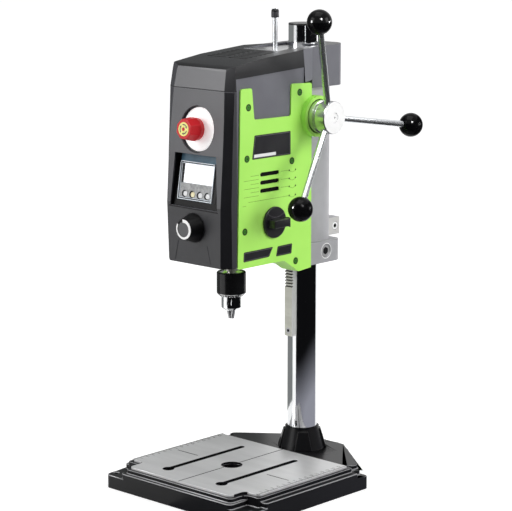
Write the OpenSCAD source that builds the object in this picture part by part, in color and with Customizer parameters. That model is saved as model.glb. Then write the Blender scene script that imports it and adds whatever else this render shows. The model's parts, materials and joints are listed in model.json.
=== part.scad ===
// Mini bench drill press, in millimetres.
// The base and column stand still. The head slides on the column by a rack and a hex-driven pinion.
// Inside the head a spindle carriage slides on two guide rods, fed by the three-arm lever.
// The origin is on the column's axis at the underside of the base, +Z up, the operator at -Y.

/* [Base] */
// Width of the base beyond each side of the table plate
base_side = 12.7; // [12:0.1:16]
// Reach of the base beyond the front of the table plate
base_lip = 8.6; // [8:0.1:12]
// Distance from the axis to the back edge of the wide part of the base
base_back = 12; // [10:1:14]
// Width of the tail behind the column
tail_w = 70; // [64:1:80]
// Reach of the tail behind the axis
tail_reach = 44; // [40:1:56]
// Height of the four corner pads
pad_h = 16.5; // [14:0.5:18]
// Height of the step round the base
step_h = 23; // [21:0.5:24]
// Height of the platform under the table plate
platform_h = 28.5; // [27:0.5:32]
// Thickness of the casting under the table plate
base_skin = 6; // [5:0.5:8]
// Thickness of the outer walls of the casting
base_wall = 7; // [6:0.5:9]
// Thickness of the ribs under the table
base_rib = 5; // [4:0.5:6]
// Gap from the floor to the ribs
rib_rise = 3; // [2:0.5:4]
// Radius of the outer corners of the base
base_r = 8; // [5:0.5:9]
// Distance of the bolt-down holes from the sides of the base
bolt_side = 6.5; // [6:0.1:7]
// Distance of the front bolt-down holes from the front edge
bolt_lip = 13; // [12:0.5:15]
// Distance from the axis to the rear bolt-down holes
bolt_back = 25; // [24:0.5:25.5]
// Diameter of the bolt-down holes
bolt_d = 6.5; // [5:0.5:7]
// Height of the top of the column collar
collar_top = 56.5; // [50:0.5:64]
// Diameter of the collar at its top
collar_top_d = 42; // [41:0.5:46]
// Diameter of the collar at its foot
collar_foot_d = 58.4; // [54:0.5:62]
// Width of a collar pad at its foot
collar_pad_foot = 22; // [18:0.5:26]
// Width of a collar pad at its top
collar_pad_top = 12.6; // [8:0.5:16]
// Height of a collar pad above the platform
collar_pad_h = 24; // [18:0.5:26]
// How far a collar pad stands proud of the collar
collar_pad_proud = 1.4; // [0.8:0.1:2]
// Height of the column's foot above the floor
socket_floor = 6; // [4:0.5:8]

/* [Table plate] */
// Width of the table plate
plate_w = 216.6; // [208:0.2:218]
// Reach of the plate in front of the axis
plate_front = 222.4; // [218:0.2:224]
// Distance from the axis to the back edge of the plate
plate_back = 36.5; // [34:0.5:40]
// Thickness of the plate
plate_t = 2.5; // [2:0.1:4]
// Width of the notch in each front corner of the plate
plate_notch_x = 21.8; // [18:0.2:24]
// Length of the notch in each front corner of the plate
plate_notch_y = 25; // [20:0.2:27]
// Diameter of the centre hole
table_hole_d = 26; // [20:0.5:30]
// Distance of each slot from the middle of the plate
slot_x = 45.5; // [42:0.5:48]
// Width of the slots
slot_w = 7; // [6:0.2:8]
// Diameter of the keyhole end of the slots
keyhole_d = 14; // [12:0.5:15]
// Front end of the slots, in front of the axis
slot_front = 202; // [196:0.5:204]
// Back end of the slots, in front of the axis
slot_back = 61; // [58:0.5:70]
// Width of the channel in the casting under each slot
channel_w = 16; // [15:0.5:18]
// Width of the engraved cross lines
line_w = 0.9; // [0.6:0.1:1.4]
// Depth of the engraved cross lines
line_depth = 0.4; // [0.2:0.1:0.6]

/* [Column] */
// Diameter of the column
column_d = 38; // [37:0.1:39]
// Wall of the column tube
column_wall = 3; // [2.5:0.1:4]
// Height of the top of the column tube
column_top = 566.5; // [562:0.5:620]
// Thickness of the cap's disc
column_cap_t = 2.2; // [1.5:0.1:4]
// Depth of the cap's plug in the tube
column_plug_h = 10; // [6:0.5:16]

/* [Height rack] */
// Module of the rack teeth
rack_m = 1.25; // [1.2:0.01:1.3]
// Width of the rack bars
rack_w = 12; // [10:0.5:13]
// Distance from the axis to the tips of the height rack's teeth
rack_front = 27; // [26.5:0.1:27.5]
// Height of the rack's lower end
rack_low = 177; // [150:1:190]
// Height of the lowest tooth
rack_teeth_low = 240; // [236:1:246]
// Height of the rack's upper end
rack_high = 361; // [359:1:370]
// Height of the lower rack screw
rack_screw_low = 184; // [182:0.5:188]
// Furthest that the head is lowered from the height shown
head_down = 38; // [30:1:38]
// Teeth of the elevation pinion
lift_teeth = 14; // [14:1:15]
// Height of the elevation pinion's axis with the head as stored
lift_z = 286.5; // [286:0.5:287]

/* [Head casting] */
// Distance from the axis to the spindle axis
throat = 130; // [128:0.5:132]
// Height of the underside of the clamp block
block_low = 273; // [270:0.5:274]
// Height of the top of the clamp block
block_high = 300; // [299:0.5:302]
// Width of the clamp block
block_w = 78; // [74:0.5:84]
// Reach of the clamp block behind the axis
block_back = 29; // [27:0.5:34]
// Reach of the clamp block in front of the axis
block_front = 50; // [49:0.5:51]
// Radius of the clamp block's rear corners
block_r = 10; // [6:0.5:12]
// Width of the upper part of the casting
neck_w = 65; // [63:0.5:65.5]
// Reach of the upper part in front of the axis
neck_front = 46; // [45.5:0.1:46.4]
// Height of the top of the casting
casting_top = 540.5; // [539:0.5:542]
// Length of each bored land that holds the column
land_h = 38; // [34:1:44]
// Radial depth of the relief between the lands
relief = 2.5; // [1:0.5:4]
// Width of the clamp lug behind the column
lug_w = 31; // [28:0.5:34]
// Reach of the clamp lug behind the axis
lug_reach = 52; // [48:0.5:56]
// Height of the lug
lug_h = 22; // [20:0.5:26]
// Width of the clamp slit
slit_w = 3; // [2:0.5:4]
// Distance of the clamp screw behind the axis
clamp_y = 43.7; // [42:0.1:45]
// Diameter of the clamp screw
clamp_d = 6; // [5:0.5:8]
// Diameter of the clamp screw's head
clamp_head_d = 10; // [9:0.5:12]
// Depth of the clamp screw's head
clamp_head_h = 6; // [5:0.5:7]
// Diameter of the lock screw
lock_d = 14; // [12:0.5:16]
// Diameter of the chamfered ring round the lock screw
lock_ring_d = 19; // [17:0.5:22]
// Diameter of the guide rods
rod_d = 10; // [9:0.5:10.5]
// Distance of each guide rod from the middle
rod_x = 24; // [23.5:0.1:24.5]
// Distance of the guide rods in front of the axis
rod_y = 56; // [55.8:0.1:56.3]
// Reach of the top arm in front of the axis
top_arm_front = 77; // [74:0.5:80]
// Width of the machined face on top of the casting
top_arm_w = 57; // [55:0.5:57.5]
// Thickness of the top arm
top_arm_t = 15.5; // [12:0.5:18]
// Depth of the shoulders beside the machined face
shoulder_t = 4.5; // [4:0.5:5]
// Reach of the bottom arm in front of the axis
bottom_arm_front = 66; // [64:0.5:68]
// Thickness of the bottom arm
bottom_arm_t = 10; // [8:0.5:10.5]

/* [Spindle carriage] */
// Travel of the spindle
stroke = 35; // [30:1:36]
// Height of the carriage's underside with the spindle up
carriage_low = 352; // [350:0.5:356]
// Height of the carriage's top with the spindle up
carriage_high = 462; // [460:0.5:470]
// Thickness of the carriage's back plate
carriage_t = 9; // [8:0.5:9]
// Front face of the back plate, in front of the axis
carriage_front = 66; // [66:0.1:66.4]
// Width of the back plate
carriage_w = 66; // [64:0.5:68]
// Diameter of the carriage's bosses round the guide rods
boss_d = 18; // [17.6:0.1:18.2]
// Length of each boss
boss_h = 20; // [16:0.5:24]
// Wall of the guide bushes
bush_wall = 1.5; // [1:0.1:1.6]
// Diameter of the spindle housing
quill_d = 46; // [45:0.5:47]
// Height of the spindle housing's lower end
quill_low = 296; // [295.5:0.1:297]
// Height of the spindle housing's upper end
quill_high = 372; // [370:0.5:373]
// Outside diameter of the spindle bearings
bearing_d = 35; // [34:0.5:36]
// Width of the spindle bearings
bearing_w = 10; // [9:0.5:11]
// Lip below the lower bearing
bearing_lip = 2; // [1.5:0.1:3]
// Diameter of the spindle
spindle_d = 17; // [16:0.5:17.5]
// Height of the spindle's upper end
spindle_high = 391; // [390:0.5:391.5]
// Module of the drive gears
drive_m = 1.25; // [1.24:0.01:1.26]
// Teeth of the spindle gear
gear_teeth = 45; // [44:1:46]
// Teeth of the motor pinion
pinion_teeth = 15; // [15:1:16]
// Height of the spindle gear's lower face
gear_low = 376; // [375.5:0.1:377]
// Width of the spindle gear
gear_w = 10; // [9:0.5:11]
// Bore of the spindle gear
gear_bore = 13; // [12:0.5:14]
// Height of the underside of the motor plate
motor_plate_low = 392; // [391.8:0.1:393]
// Thickness of the motor plate
motor_plate_t = 5; // [4:0.5:6]
// Width of the motor plate
motor_plate_w = 54; // [50:0.5:54.5]
// Diameter of the motor
motor_d = 50; // [48:0.5:50.5]
// Length of the motor
motor_h = 92; // [80:1:100]
// Diameter of the motor shaft
motor_shaft_d = 6; // [5:0.5:7]
// Diameter of the motor's front boss
motor_boss_d = 22; // [20:0.5:24]

/* [Feed] */
// Teeth of the feed pinion
feed_teeth = 16; // [16:1:17]
// Distance of the feed shaft in front of the axis
feed_y = 38.5; // [38.3:0.1:38.6]
// Height of the feed shaft
feed_z = 461; // [460:0.5:462]
// Diameter of the feed shaft
feed_shaft_d = 12; // [11:0.5:12.4]
// Width of the feed pinion and rack
feed_w = 10; // [9:0.5:11]
// Outside diameter of the feed bushes
feed_bush_d = 15; // [14.5:0.1:15.4]
// Length of the feed bushes
feed_bush_h = 8; // [6:0.5:10]
// Diameter of the feed hub
hub_d = 40; // [38:0.5:41]
// Distance from the middle to the feed hub's inner face
hub_in = 53.8; // [53.6:0.1:55]
// Distance from the middle to the feed hub's outer face
hub_out = 85; // [84:0.5:88]
// Distance from the middle to the groove in the hub
hub_groove = 68; // [67:0.5:69]
// Depth of the groove in the hub
hub_groove_depth = 3; // [1:0.5:4]
// Width of the groove in the hub
hub_groove_w = 4.5; // [3:0.5:5]
// Diameter of the lever rods
lever_d = 8; // [7:0.5:9]
// Radius at which the lever rods leave the hub
lever_root = 15; // [13:0.5:16]
// Distance from the middle to the lever rods at the hub
lever_root_x = 78.5; // [78:0.1:79]
// Radius of the ball knobs' centres from the feed axis
ball_reach = 127; // [115:1:140]
// Distance from the middle to the ball knobs' centres
ball_x = 101; // [97:0.5:103]
// Diameter of the ball knobs
ball_d = 30; // [26:0.5:34]
// Angle of the first lever, from level at the back towards up
lever_angle = 111.7; // [100:0.1:120]
// Diameter of the depth rod
depth_rod_d = 6; // [5:0.5:6.5]
// Length of the depth rod above the feed rack
depth_rod_len = 77.8; // [77:0.1:81]
// Diameter of the depth stop
depth_stop_d = 9.6; // [9:0.1:12]
// Height of the depth stop
depth_stop_h = 11; // [9:0.5:12]
// Outside diameter of the return spring's drum
drum_d = 42; // [40:0.5:42.5]
// Distance of the drum from the casting's neck
drum_gap = 4; // [3.8:0.1:4.5]
// Depth of the drum
drum_h = 10.5; // [9:0.5:11]
// Wall of the drum
drum_wall = 1.2; // [1:0.1:1.5]
// Thickness of the return spring's strip
strip_t = 0.6; // [0.4:0.1:0.8]
// Turns of the return spring
strip_turns = 6; // [4:1:7]

/* [Chuck] */
// Diameter of the chuck sleeve
sleeve_d = 35.8; // [34:0.2:37]
// Height of the sleeve's lower edge
sleeve_low = 245; // [244:0.5:246]
// Height of the sleeve's top
sleeve_high = 275; // [274:0.5:275.5]
// Height of the toothed bevel ring
bevel_h = 4; // [3:0.5:5]
// Teeth of the chuck's bevel ring
bevel_teeth = 30; // [24:1:36]
// Diameter of the chuck's nose
nose_d = 24.3; // [24:0.1:25]
// Height of the nose's lower face
nose_low = 227; // [226:0.5:228]
// Diameter of the nose's lower face
nose_tip_d = 14; // [13:0.5:16]
// Diameter of the chuck body inside the sleeve
core_d = 28; // [27.5:0.1:28.4]
// Diameter of the chuck jaws
jaw_d = 4.8; // [4.4:0.1:5]
// Height of the jaws' tips
jaw_tip = 217; // [216:0.5:218]
// Length of the jaws
jaw_len = 23; // [21:0.5:24]
// Slope of the jaws
jaw_slope = 12; // [11.5:0.1:12.5]
// Smallest drill that the closed jaws hold
drill_min = 1.5; // [1:0.1:2]
// Diameter of the key holes
key_hole_d = 5; // [4.5:0.1:5.5]

/* [Housing] */
// Room beside the casting's neck inside the head
side_room = 20.5; // [20:0.1:21.5]
// Furthest reach of the front shell from the axis
head_front = 194.4; // [193:0.2:197]
// Wall of the plastic covers
cover_t = 2; // [1.8:0.1:2.2]
// Height of the underside of the shells
head_low = 290; // [289.5:0.1:290.5]
// Height of the seam between the front shell and the top cover
seam_z = 501.5; // [500:0.5:503]
// Front edge of the side covers at the bottom, in front of the axis
side_front_low = 174; // [172:0.2:176]
// Front edge of the side covers at the top
side_front_high = 168.6; // [167:0.2:171]
// Height of the top of the side covers
side_top = 503; // [502:0.5:504]
// Rear edge of the side covers
side_back = 44.2; // [43.5:0.1:45]
// Front end of the notch in the side covers
side_notch_front = 145.5; // [143:0.5:148]
// Back end of the notch in the side covers
side_notch_back = 81.5; // [79:0.5:84]
// Height of the notch's lower edge
side_notch_low = 464.5; // [462:0.5:467]
// Back end of the straight lower edge
arch_back = 93.1; // [92:0.5:95]
// Distance of the lowest point in front of the axis
tip_front = 67; // [66:0.5:68]
// Height of the lowest point
tip_low = 273; // [272.5:0.5:274]
// Depth of the rear return wall and tip of the side covers
side_depth = 20.5; // [19:0.1:20.5]
// Diameter of the boss ring round the feed hub
ring_d = 50; // [48:0.5:52]
// Bore of the boss ring
ring_bore = 42; // [41:0.5:43]
// How far the boss ring stands out of the side cover
ring_h = 7; // [5:0.5:9]
// Width of the vents
vent_w = 33.5; // [30:0.5:36]
// Height of the vents
vent_h = 5; // [4:0.1:5.5]
// Distance between the vents
vent_pitch = 9.8; // [9:0.1:10.5]
// Height of the middle vent
vent_z = 389.4; // [388:0.2:391]
// Distance of the vents' middle in front of the axis
vent_y = 118.7; // [117:0.2:120]
// Height of the side panel's front end
panel_front_z = 515; // [513:0.5:516]
// Height of the side panel's back end
panel_back_z = 521; // [520:0.5:522]
// Front end of the raised side panel
panel_front = 175.6; // [175:0.2:176.4]
// Back end of the side panel
panel_back = 56; // [55:0.5:57]
// Width of the rear block of the top cover beside the neck
rear_side = 7.5; // [6.5:0.1:9.5]
// Reach of the rear block behind the axis
rear_reach = 36; // [35.5:0.1:40]
// Height of the rear block's underside
rear_low = 493; // [492:0.5:494]
// Height of the top cover at its rear
top_back_z = 544; // [543:0.5:546]
// Height of the top cover behind its front edge
top_front_z = 532.5; // [531:0.5:534]
// Width of the opening in the top cover
top_open_w = 58; // [56:0.5:60]
// Head diameter of the cover screws
cover_head_d = 7; // [6:0.2:7.4]
// Shank diameter of the cover screws
cover_screw_d = 3; // [2.5:0.1:3.5]
// Thickness of the bottom plate
bottom_t = 2.5; // [2:0.1:3]

/* [Controls] */
// Height of the stop button
stop_z = 454; // [453:0.5:455]
// Diameter of the stop button's plate
stop_plate_d = 52; // [50:0.5:54]
// Gap round the stop button's plate in its recess
stop_margin = 2; // [1:0.5:2]
// Depth of the stop button's plate behind its frame
stop_recess = 5; // [4:0.5:6]
// Diameter of the stop button's round skirt
stop_skirt_d = 27; // [25:0.5:28]
// Diameter of the stop button at its back
stop_head_d = 30; // [28:0.5:32]
// Diameter of the stop button at its face
stop_face_d = 24.5; // [22:0.5:27]
// Length of the stop button's head
stop_head_h = 15; // [13:0.5:17]
// Travel of the stop button
stop_travel = 4; // [3:0.5:5]
// Diameter of the stop button's stem
stop_stem_d = 14; // [12:0.5:15]
// Height of the speed knob
knob_z = 337; // [335:0.5:339]
// Diameter of the speed knob at its base
knob_d = 36; // [33:0.5:38]
// Diameter of the speed knob at its face
knob_face_d = 24; // [22:0.5:28]
// Length of the speed knob
knob_h = 16.5; // [14:0.5:18]
// Height of the display opening's upper edge
display_high = 424; // [423:0.5:425]
// Height of the display opening's lower edge
display_low = 360.5; // [359.5:0.5:361.5]
// Width of the shell's face beside the display opening
display_side = 9.5; // [8:0.5:11]
// Depth of the display opening
display_depth = 16; // [14:0.5:17]
// Diameter of the display's keys
key_d = 6.4; // [6:0.1:7]
// Distance between the display's keys
key_pitch = 12.4; // [12:0.1:13]
// Travel of the display's keys
key_travel = 0.8; // [0.5:0.1:1]
// Tilt of the display's face
display_tilt = 9; // [7:0.5:11]
// Distance of the selector in front of the axis
selector_y = 111.7; // [111:0.1:112.4]
// Height of the selector
selector_z = 339.5; // [338.5:0.5:340.5]
// Diameter of the selector's disc
selector_d = 38; // [36:0.5:40]
// Length of the selector's bar
selector_bar = 35; // [32:0.5:37]
// Width of the selector's bar
selector_bar_w = 12; // [10:0.5:14]
// Reach of the selector's bar from the side cover
selector_reach = 15.5; // [13:0.5:18]

/* [Hidden] */
// Overrun of every cut past the face that it starts from
over = 1;
// Gap between pieces that move past each other
gap = 0.4;
// Radial running clearance of a shaft in its bore
run = 0.05;
// Fineness of round faces
$fn = 48;

// Values that follow from the sizes above
base_w = plate_w + 2 * base_side;
base_front = plate_front + base_lip;
bolt_x = base_w - 2 * bolt_side;
bolt_front = base_front - bolt_lip;
column_r = column_d / 2;
plate_half = plate_w / 2;
plate_rim = 3.5;
notch_ledge = 4;
platform_half = plate_half + plate_rim;
platform_front = plate_front + plate_rim;
notch_in = plate_half - plate_notch_x + plate_rim;
notch_back = plate_front - plate_notch_y + plate_rim;
bite_front = plate_back - plate_rim - 0.5 * notch_ledge;
bite_back = bite_front - notch_ledge;
bite_in = platform_half - 2 * notch_ledge - base_rib / 2;
taper_front = bolt_back - notch_ledge - plate_rim / 6;
fillet_small = 3;
fillet_plate = 6;
rib_shares = [0.5, 1.5];
plate_screw_d = 4;
plate_screw_head_d = 7.5;
plate_screw_head_h = 3;
plate_screw_grip = 1.6;
plate_screw_x = 95;
plate_screw_front = 181;
plate_screw_back = 66;

rack_pitch = PI * rack_m;
tooth_lash = 0.16;
add_share = 0.8;
ded_share = 1.25;
pressure = 20;
lift_r = rack_m * lift_teeth / 2;
lift_y = rack_front - add_share * rack_m + lift_r;
rack_screw_d = 4;
rack_head_d = 8;
rack_head_h = 2.4;
rack_screw_high = rack_high - rack_head_d;
channel_side = 0.4;
channel_high = rack_high + head_down + rack_head_d;
lift_journal_d = 2 * (lift_r + rack_m) + 1.5 * gap;
lift_tail_d = 10;
lift_tail_x = 20;
hex_lift = 8;
hex_depth = 6;

neck_r = neck_w / 2;
rear_w = neck_w + 2 * rear_side;
drum_in = neck_r + drum_gap;
bore_r = column_r + run;
lock_rise = 1;
lock_z = (block_low + block_high) / 2 + lock_rise;
lock_len = 15;
lock_clear = 0.4;
lock_hex = 8;
clamp_z = block_high + lug_h / 2;
clamp_hex = 5;
arm_low_z = block_high + bottom_arm_t;
arm_high_z = casting_top - top_arm_t;

feed_r = rack_m * feed_teeth / 2;
feed_rack_tip = feed_y + feed_r - add_share * rack_m;
feed_rack_back = carriage_front - carriage_t;
feed_rack_low = 420;
feed_rack_high = feed_z + stroke + feed_r + 4 * rack_m;
depth_rod_y = (feed_rack_tip + feed_rack_back) / 2;
depth_rod_seat = 7;
depth_stop_low = feed_rack_high + depth_rod_len - depth_stop_h;
feed_shaft_left = drum_in + drum_h - drum_wall - 2 * gap;
quill_bore_d = bearing_d - bearing_w / 2;
drive_r = drive_m * (gear_teeth + pinion_teeth) / 2;
motor_y = throat - drive_r;
motor_low = motor_plate_low + motor_plate_t;
motor_seat = 10;
taper_low_d = 9.6;
taper_high_d = 10.4;
taper_low = 260;
spindle_step = sleeve_high + bevel_h * 0.4;
core_low = sleeve_low + bevel_h;
core_high = sleeve_high - bevel_h / 8;
jaw_root = jaw_d / 4;
jaw_gap = 0.12;
key_hole_z = (nose_low + sleeve_low) / 2 + 0.6 * key_hole_d;

head_w = neck_w + 2 * side_room;
head_half = head_w / 2;
panel_half = head_half - cover_t;
shell_z_shares = [0, 0.345, 0.634, 0.828, 1];
shell_w_shares = [0.80, 0.84, 0.845, 0.82, 0.783];
shell_y_shares = [0.990, 1, 0.9805, 0.962, 0.9475];
edge_y_shares = [0.944, 0.950, 0.940, 0.930, 0.921];
top_w_shares = [0.783, 0.755, 0.70];
top_y_shares = [0.9475, 0.926, 0.900];
top_edge_shares = [0.921, 0.905, 0.880];
top_half_shares = [1, 0.975, 0.93];
slant_back = 28.7;
top_round = 12;
rear_r = 19;
side_recess = 175.2;
stop_y = 189;
stop_tilt = 5.2;
stop_plate_t = 1.5;
stop_neck = 2;
knob_y = 194.2;
side_screws = [
    [155.5, 480.7], [158.2, 420.3], [79.7, 410.4], [66.1, 491.8], [161.9, 334], [72.4, 286.9]
];
cover_screw_len = 6.5;
display_y = 188;
frame_t = 3;
display_w = 2 * (head_half * shell_w_shares[1] - display_side);
gland_d = side_room - 2.5 * cover_t;
gland_x = neck_r + 2 * gap + gland_d / 2;
window_high_share = 0.90;
window_low_share = 0.40;
key_z_share = 0.235;

function unit(v) = v / norm(v);
// Points of a corner at b between a and c, rounded to radius r
function corner(a, b, c, r, n = 5) = r == 0 ? [b] : let (
    u = unit(a - b), v = unit(c - b), h = acos(u * v) / 2,
    m = b + unit(u + v) * r / sin(h), s = b + u * r / tan(h) - m, e = b + v * r / tan(h) - m,
    a0 = atan2(s[1], s[0]), d = atan2(e[1], e[0]) - a0, t = d > 180 ? d - 360 : d < -180 ? d + 360 : d
) [for (k = [0:n]) m + r * [cos(a0 + t * k / n), sin(a0 + t * k / n)]];
// An outline with each corner rounded to its own radius
function rounded(p, rs) = let (n = len(p)) [
    for (i = [0:n - 1]) each corner(p[(i + n - 1) % n], p[i], p[(i + 1) % n], rs[i])
];
// A right-hand outline from front to back, closed by its mirror image
function both(p) = concat(p, [for (i = [len(p) - 1:-1:0]) [-p[i][0], p[i][1]]]);
function both_r(r) = concat(r, [for (i = [len(r) - 1:-1:0]) r[i]]);

// Half thickness of a rack tooth at distance t towards its tip from the pitch line
function tooth_half(t) = (rack_pitch - tooth_lash) / 4 - t * tan(pressure);
// One rack tooth, as steps along the bar and outward from the tips
function rack_tooth(z) = let (a = add_share * rack_m, d = ded_share * rack_m) [
    [-a - d, z - tooth_half(-d)],
        [0, z - tooth_half(a)], [0, z + tooth_half(a)], [-a - d, z + tooth_half(-d)]
];

// Involute flank of a gear, from the root to the tip, on the side of positive angles
function flank_angle(r, rp, half) = let (
    rb = rp * cos(pressure), rr = max(r, rb), t = sqrt(rr * rr / (rb * rb) - 1), t0 = tan(pressure)
) half - ((t - t0) * 180 / PI - atan(t) + atan(t0));
module gear(m, n, add) {
    rp = m * n / 2;
    half = (PI * m - tooth_lash) / 4 / rp * 180 / PI;
    root = rp - ded_share * m;
    radii = [root, max(rp * cos(pressure), root) + m / 50, rp - 0.3 * m, rp, rp + add * m / 2,
        rp + add * m];
    polygon([for (i = [0:n - 1]) let (a = 360 * (i + 0.5) / n) each concat(
        [for (k = [0:5]) radii[k] * [cos(a - flank_angle(radii[k], rp, half)),
            sin(a - flank_angle(radii[k], rp, half))]],
        [for (k = [5:-1:0]) radii[k] * [cos(a + flank_angle(radii[k], rp, half)),
            sin(a + flank_angle(radii[k], rp, half))]]
    )]);
}

module up(z) translate([0, 0, z]) children();
module both_sides() for (s = [0, 1]) mirror([s, 0, 0]) children();
module on_spindle(z) translate([0, -throat, z]) children();
// An outline in (Y, Z) drawn out along X from x0 to x1
module along_x(x0, x1) translate([x0, 0, 0]) rotate([90, 0, 90]) linear_extrude(x1 - x0) children();
// An outline in (X, Z) drawn out along Y from y0 to y1
module along_y(y0, y1) translate([0, y1, 0]) rotate([90, 0, 0]) linear_extrude(y1 - y0) children();
// A rod along X from x0 to x1 at (y, z)
module x_rod(x0, x1, y, z, d, d2 = 0) translate([x0, y, z]) rotate([0, 90, 0])
    cylinder(h = x1 - x0, d1 = d, d2 = d2 == 0 ? d : d2);
module feed_rod(x0, x1, d) x_rod(x0, x1, -feed_y, feed_z, d);
module lift_rod(x0, x1, d) x_rod(x0, x1, -lift_y, lift_z, d);
module selector_rod(x0, x1, d) x_rod(x0, x1, -selector_y, selector_z, d);
// A block given by its lowest and highest corners
module block(a, b) translate(a) cube(b - a);

// A solid through outlines at given heights, each outline with the same number of points
module loft(sections, heights) {
    n = len(sections[0]);
    m = len(sections);
    polyhedron(
        points = [for (k = [0:m - 1]) for (p = sections[k]) [p[0], p[1], heights[k]]],
        faces = concat(
            [[for (i = [0:n - 1]) i]], [[for (i = [n - 1:-1:0]) (m - 1) * n + i]],
            [for (k = [0:m - 2]) for (i = [0:n - 1]) let (j = (i + 1) % n) each [
                [k * n + i, (k + 1) * n + i, (k + 1) * n + j], [k * n + i, (k + 1) * n + j, k * n + j]
            ]]
        )
    );
}

// Outlines of the base from above, right half from front to back
function step_outline(w) = both([
    [notch_in + notch_ledge - w, -base_front + w],
        [notch_in + notch_ledge - w, -(notch_back - notch_ledge) + w],
    [base_w / 2 - w, -(notch_back - notch_ledge) + w], [base_w / 2 - w, -bite_front],
    [bite_in + 2 * fillet_small, -bite_front], [bite_in + 2 * fillet_small, -bite_back + plate_t / 2],
    [base_w / 2 - notch_ledge, -taper_front], [tail_w / 2 + notch_ledge, tail_reach]
]);
platform_outline = both([
    [notch_in, -platform_front], [notch_in, -notch_back], [platform_half, -notch_back],
    [platform_half, -bite_front], [bite_in, -bite_front], [bite_in, -bite_back],
    [platform_half + plate_t / 2, -taper_front], [tail_w / 2, tail_reach - plate_t]
]);
outline_r = both_r([fillet_plate, base_r, fillet_small, fillet_small, 0, fillet_small, base_r, base_r]);
cavity_outline = both([
    [notch_in - base_wall, -platform_front + base_wall], [notch_in - base_wall, -notch_back + base_wall],
    [platform_half - base_wall, -notch_back + base_wall],
        [platform_half - base_wall, -bite_front - base_wall - plate_t],
    [bite_in - base_wall - plate_t, -bite_front - base_wall - plate_t],
    [bite_in - base_wall - plate_t, -taper_front + base_wall - plate_t],
        [tail_w / 2 - base_wall, tail_reach - base_wall]
]);

module slot_shape(w, key) both_sides() translate([slot_x, 0]) {
    translate([-w / 2, -slot_front + key / 2]) square([w, slot_front - slot_back - key / 2 - w / 2]);
    translate([0, -slot_back - w / 2]) circle(d = w);
    translate([0, -slot_front + key / 2]) circle(d = key);
}
module plate_screw_places() for (x = [-plate_screw_x, plate_screw_x],
    y = [-plate_screw_front, -plate_screw_back])
    translate([x, y, platform_h - base_skin]) children();

// Flat raised facet on the collar, pointing along +X
module collar_pad() {
    slope = (collar_foot_d - collar_top_d) / 2 / (collar_top - platform_h);
    foot = collar_foot_d / 2 + collar_pad_proud;
    intersection() {
        along_y(-collar_pad_foot, collar_pad_foot) polygon([
            [column_r + column_wall / 2, platform_h], [foot, platform_h],
            [foot - slope * collar_pad_h, platform_h + collar_pad_h],
                [column_r + column_wall / 2, platform_h + collar_pad_h]
        ]);
        along_x(column_r, foot + over) polygon([
            [-collar_pad_foot / 2, platform_h], [collar_pad_foot / 2, platform_h],
            [collar_pad_top / 2, platform_h + collar_pad_h],
                [-collar_pad_top / 2, platform_h + collar_pad_h]
        ]);
    }
}

// Base casting: rimmed platform on a lower step, corner pads, tail and column collar, ribbed hollow below
module base_casting() color("#26272a") difference() {
    union() {
        linear_extrude(pad_h) polygon(rounded(
            both([[base_w / 2, -base_front], [base_w / 2, -base_back], [base_w / 2 - base_r, -base_back]]),
            both_r([base_r, base_r / 2, 0])
        ));
        linear_extrude(step_h) polygon(rounded(step_outline(0), outline_r));
        linear_extrude(platform_h) polygon(rounded(platform_outline, outline_r));
        rotate_extrude() polygon([
            [0, platform_h - base_skin],
                [collar_foot_d / 2, platform_h - base_skin], [collar_foot_d / 2, platform_h],
            [collar_top_d / 2, collar_top - run], [collar_top_d / 2 - run, collar_top], [0, collar_top]
        ]);
        for (a = [45:90:315]) rotate(a) collar_pad();
    }
    difference() {
        up(-over) linear_extrude(platform_h - base_skin + over) polygon(cavity_outline);
        cylinder(h = platform_h, r = column_r + base_wall + column_wall);
        both_sides() for (k = rib_shares) translate([k * slot_x - base_rib / 2, -base_front, rib_rise])
            cube([base_rib, base_front + tail_reach, platform_h]);
    }
    up(socket_floor) cylinder(h = collar_top, r = bore_r);
    for (x = [-bolt_x / 2, bolt_x / 2], y = [-bolt_front, -bolt_back]) translate([x, y, -over])
        cylinder(h = pad_h + 2 * over, d = bolt_d);
    both_sides() translate([slot_x - channel_w / 2, -slot_front - gap, 0])
        cube([channel_w, slot_front - slot_back + 2 * gap, platform_h + over]);
    on_spindle(0) cylinder(h = platform_h + over, d = table_hole_d + 2 * over);
    plate_screw_places() up(-over) cylinder(h = base_skin + 2 * over, d = plate_screw_d + 2 * run);
}

// Ground table plate with two keyhole slots, a centre hole and engraved cross lines
module table_plate() color("#c9cbcd") up(platform_h) difference() {
    linear_extrude(plate_t) difference() {
        polygon(rounded(both([
            [plate_half - plate_notch_x, -plate_front],
                [plate_half - plate_notch_x, -plate_front + plate_notch_y],
            [plate_half, -plate_front + plate_notch_y], [plate_half, -plate_back]
        ]), both_r([fillet_plate, fillet_plate, fillet_plate, fillet_small])));
        slot_shape(slot_w, keyhole_d);
        translate([0, -throat]) circle(d = table_hole_d);
    }
    for (s = [-1, 1]) {
        block([-line_w / 2, s > 0 ? -throat + table_hole_d : -plate_front, plate_t - line_depth],
            [line_w / 2, s > 0 ? -plate_back + over : -throat - table_hole_d, plate_t + over]);
        block([s * (slot_x + 2 * keyhole_d) - keyhole_d, -throat - line_w / 2, plate_t - line_depth],
            [s * (slot_x + 2 * keyhole_d) + keyhole_d, -throat + line_w / 2, plate_t + over]);
    }
    plate_screw_places() up(-platform_h)
        cylinder(h = base_skin + plate_screw_grip, d = plate_screw_d + 2 * run);
}
module plate_screws() color("#8e9194") plate_screw_places() difference() {
    union() {
        cylinder(h = base_skin + plate_screw_grip, d = plate_screw_d);
        up(-plate_screw_head_h) cylinder(h = plate_screw_head_h, d = plate_screw_head_d);
    }
    up(-plate_screw_head_h - over) cylinder(h = plate_screw_head_h / 2 + over, d = plate_screw_d, $fn = 6);
}

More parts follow.
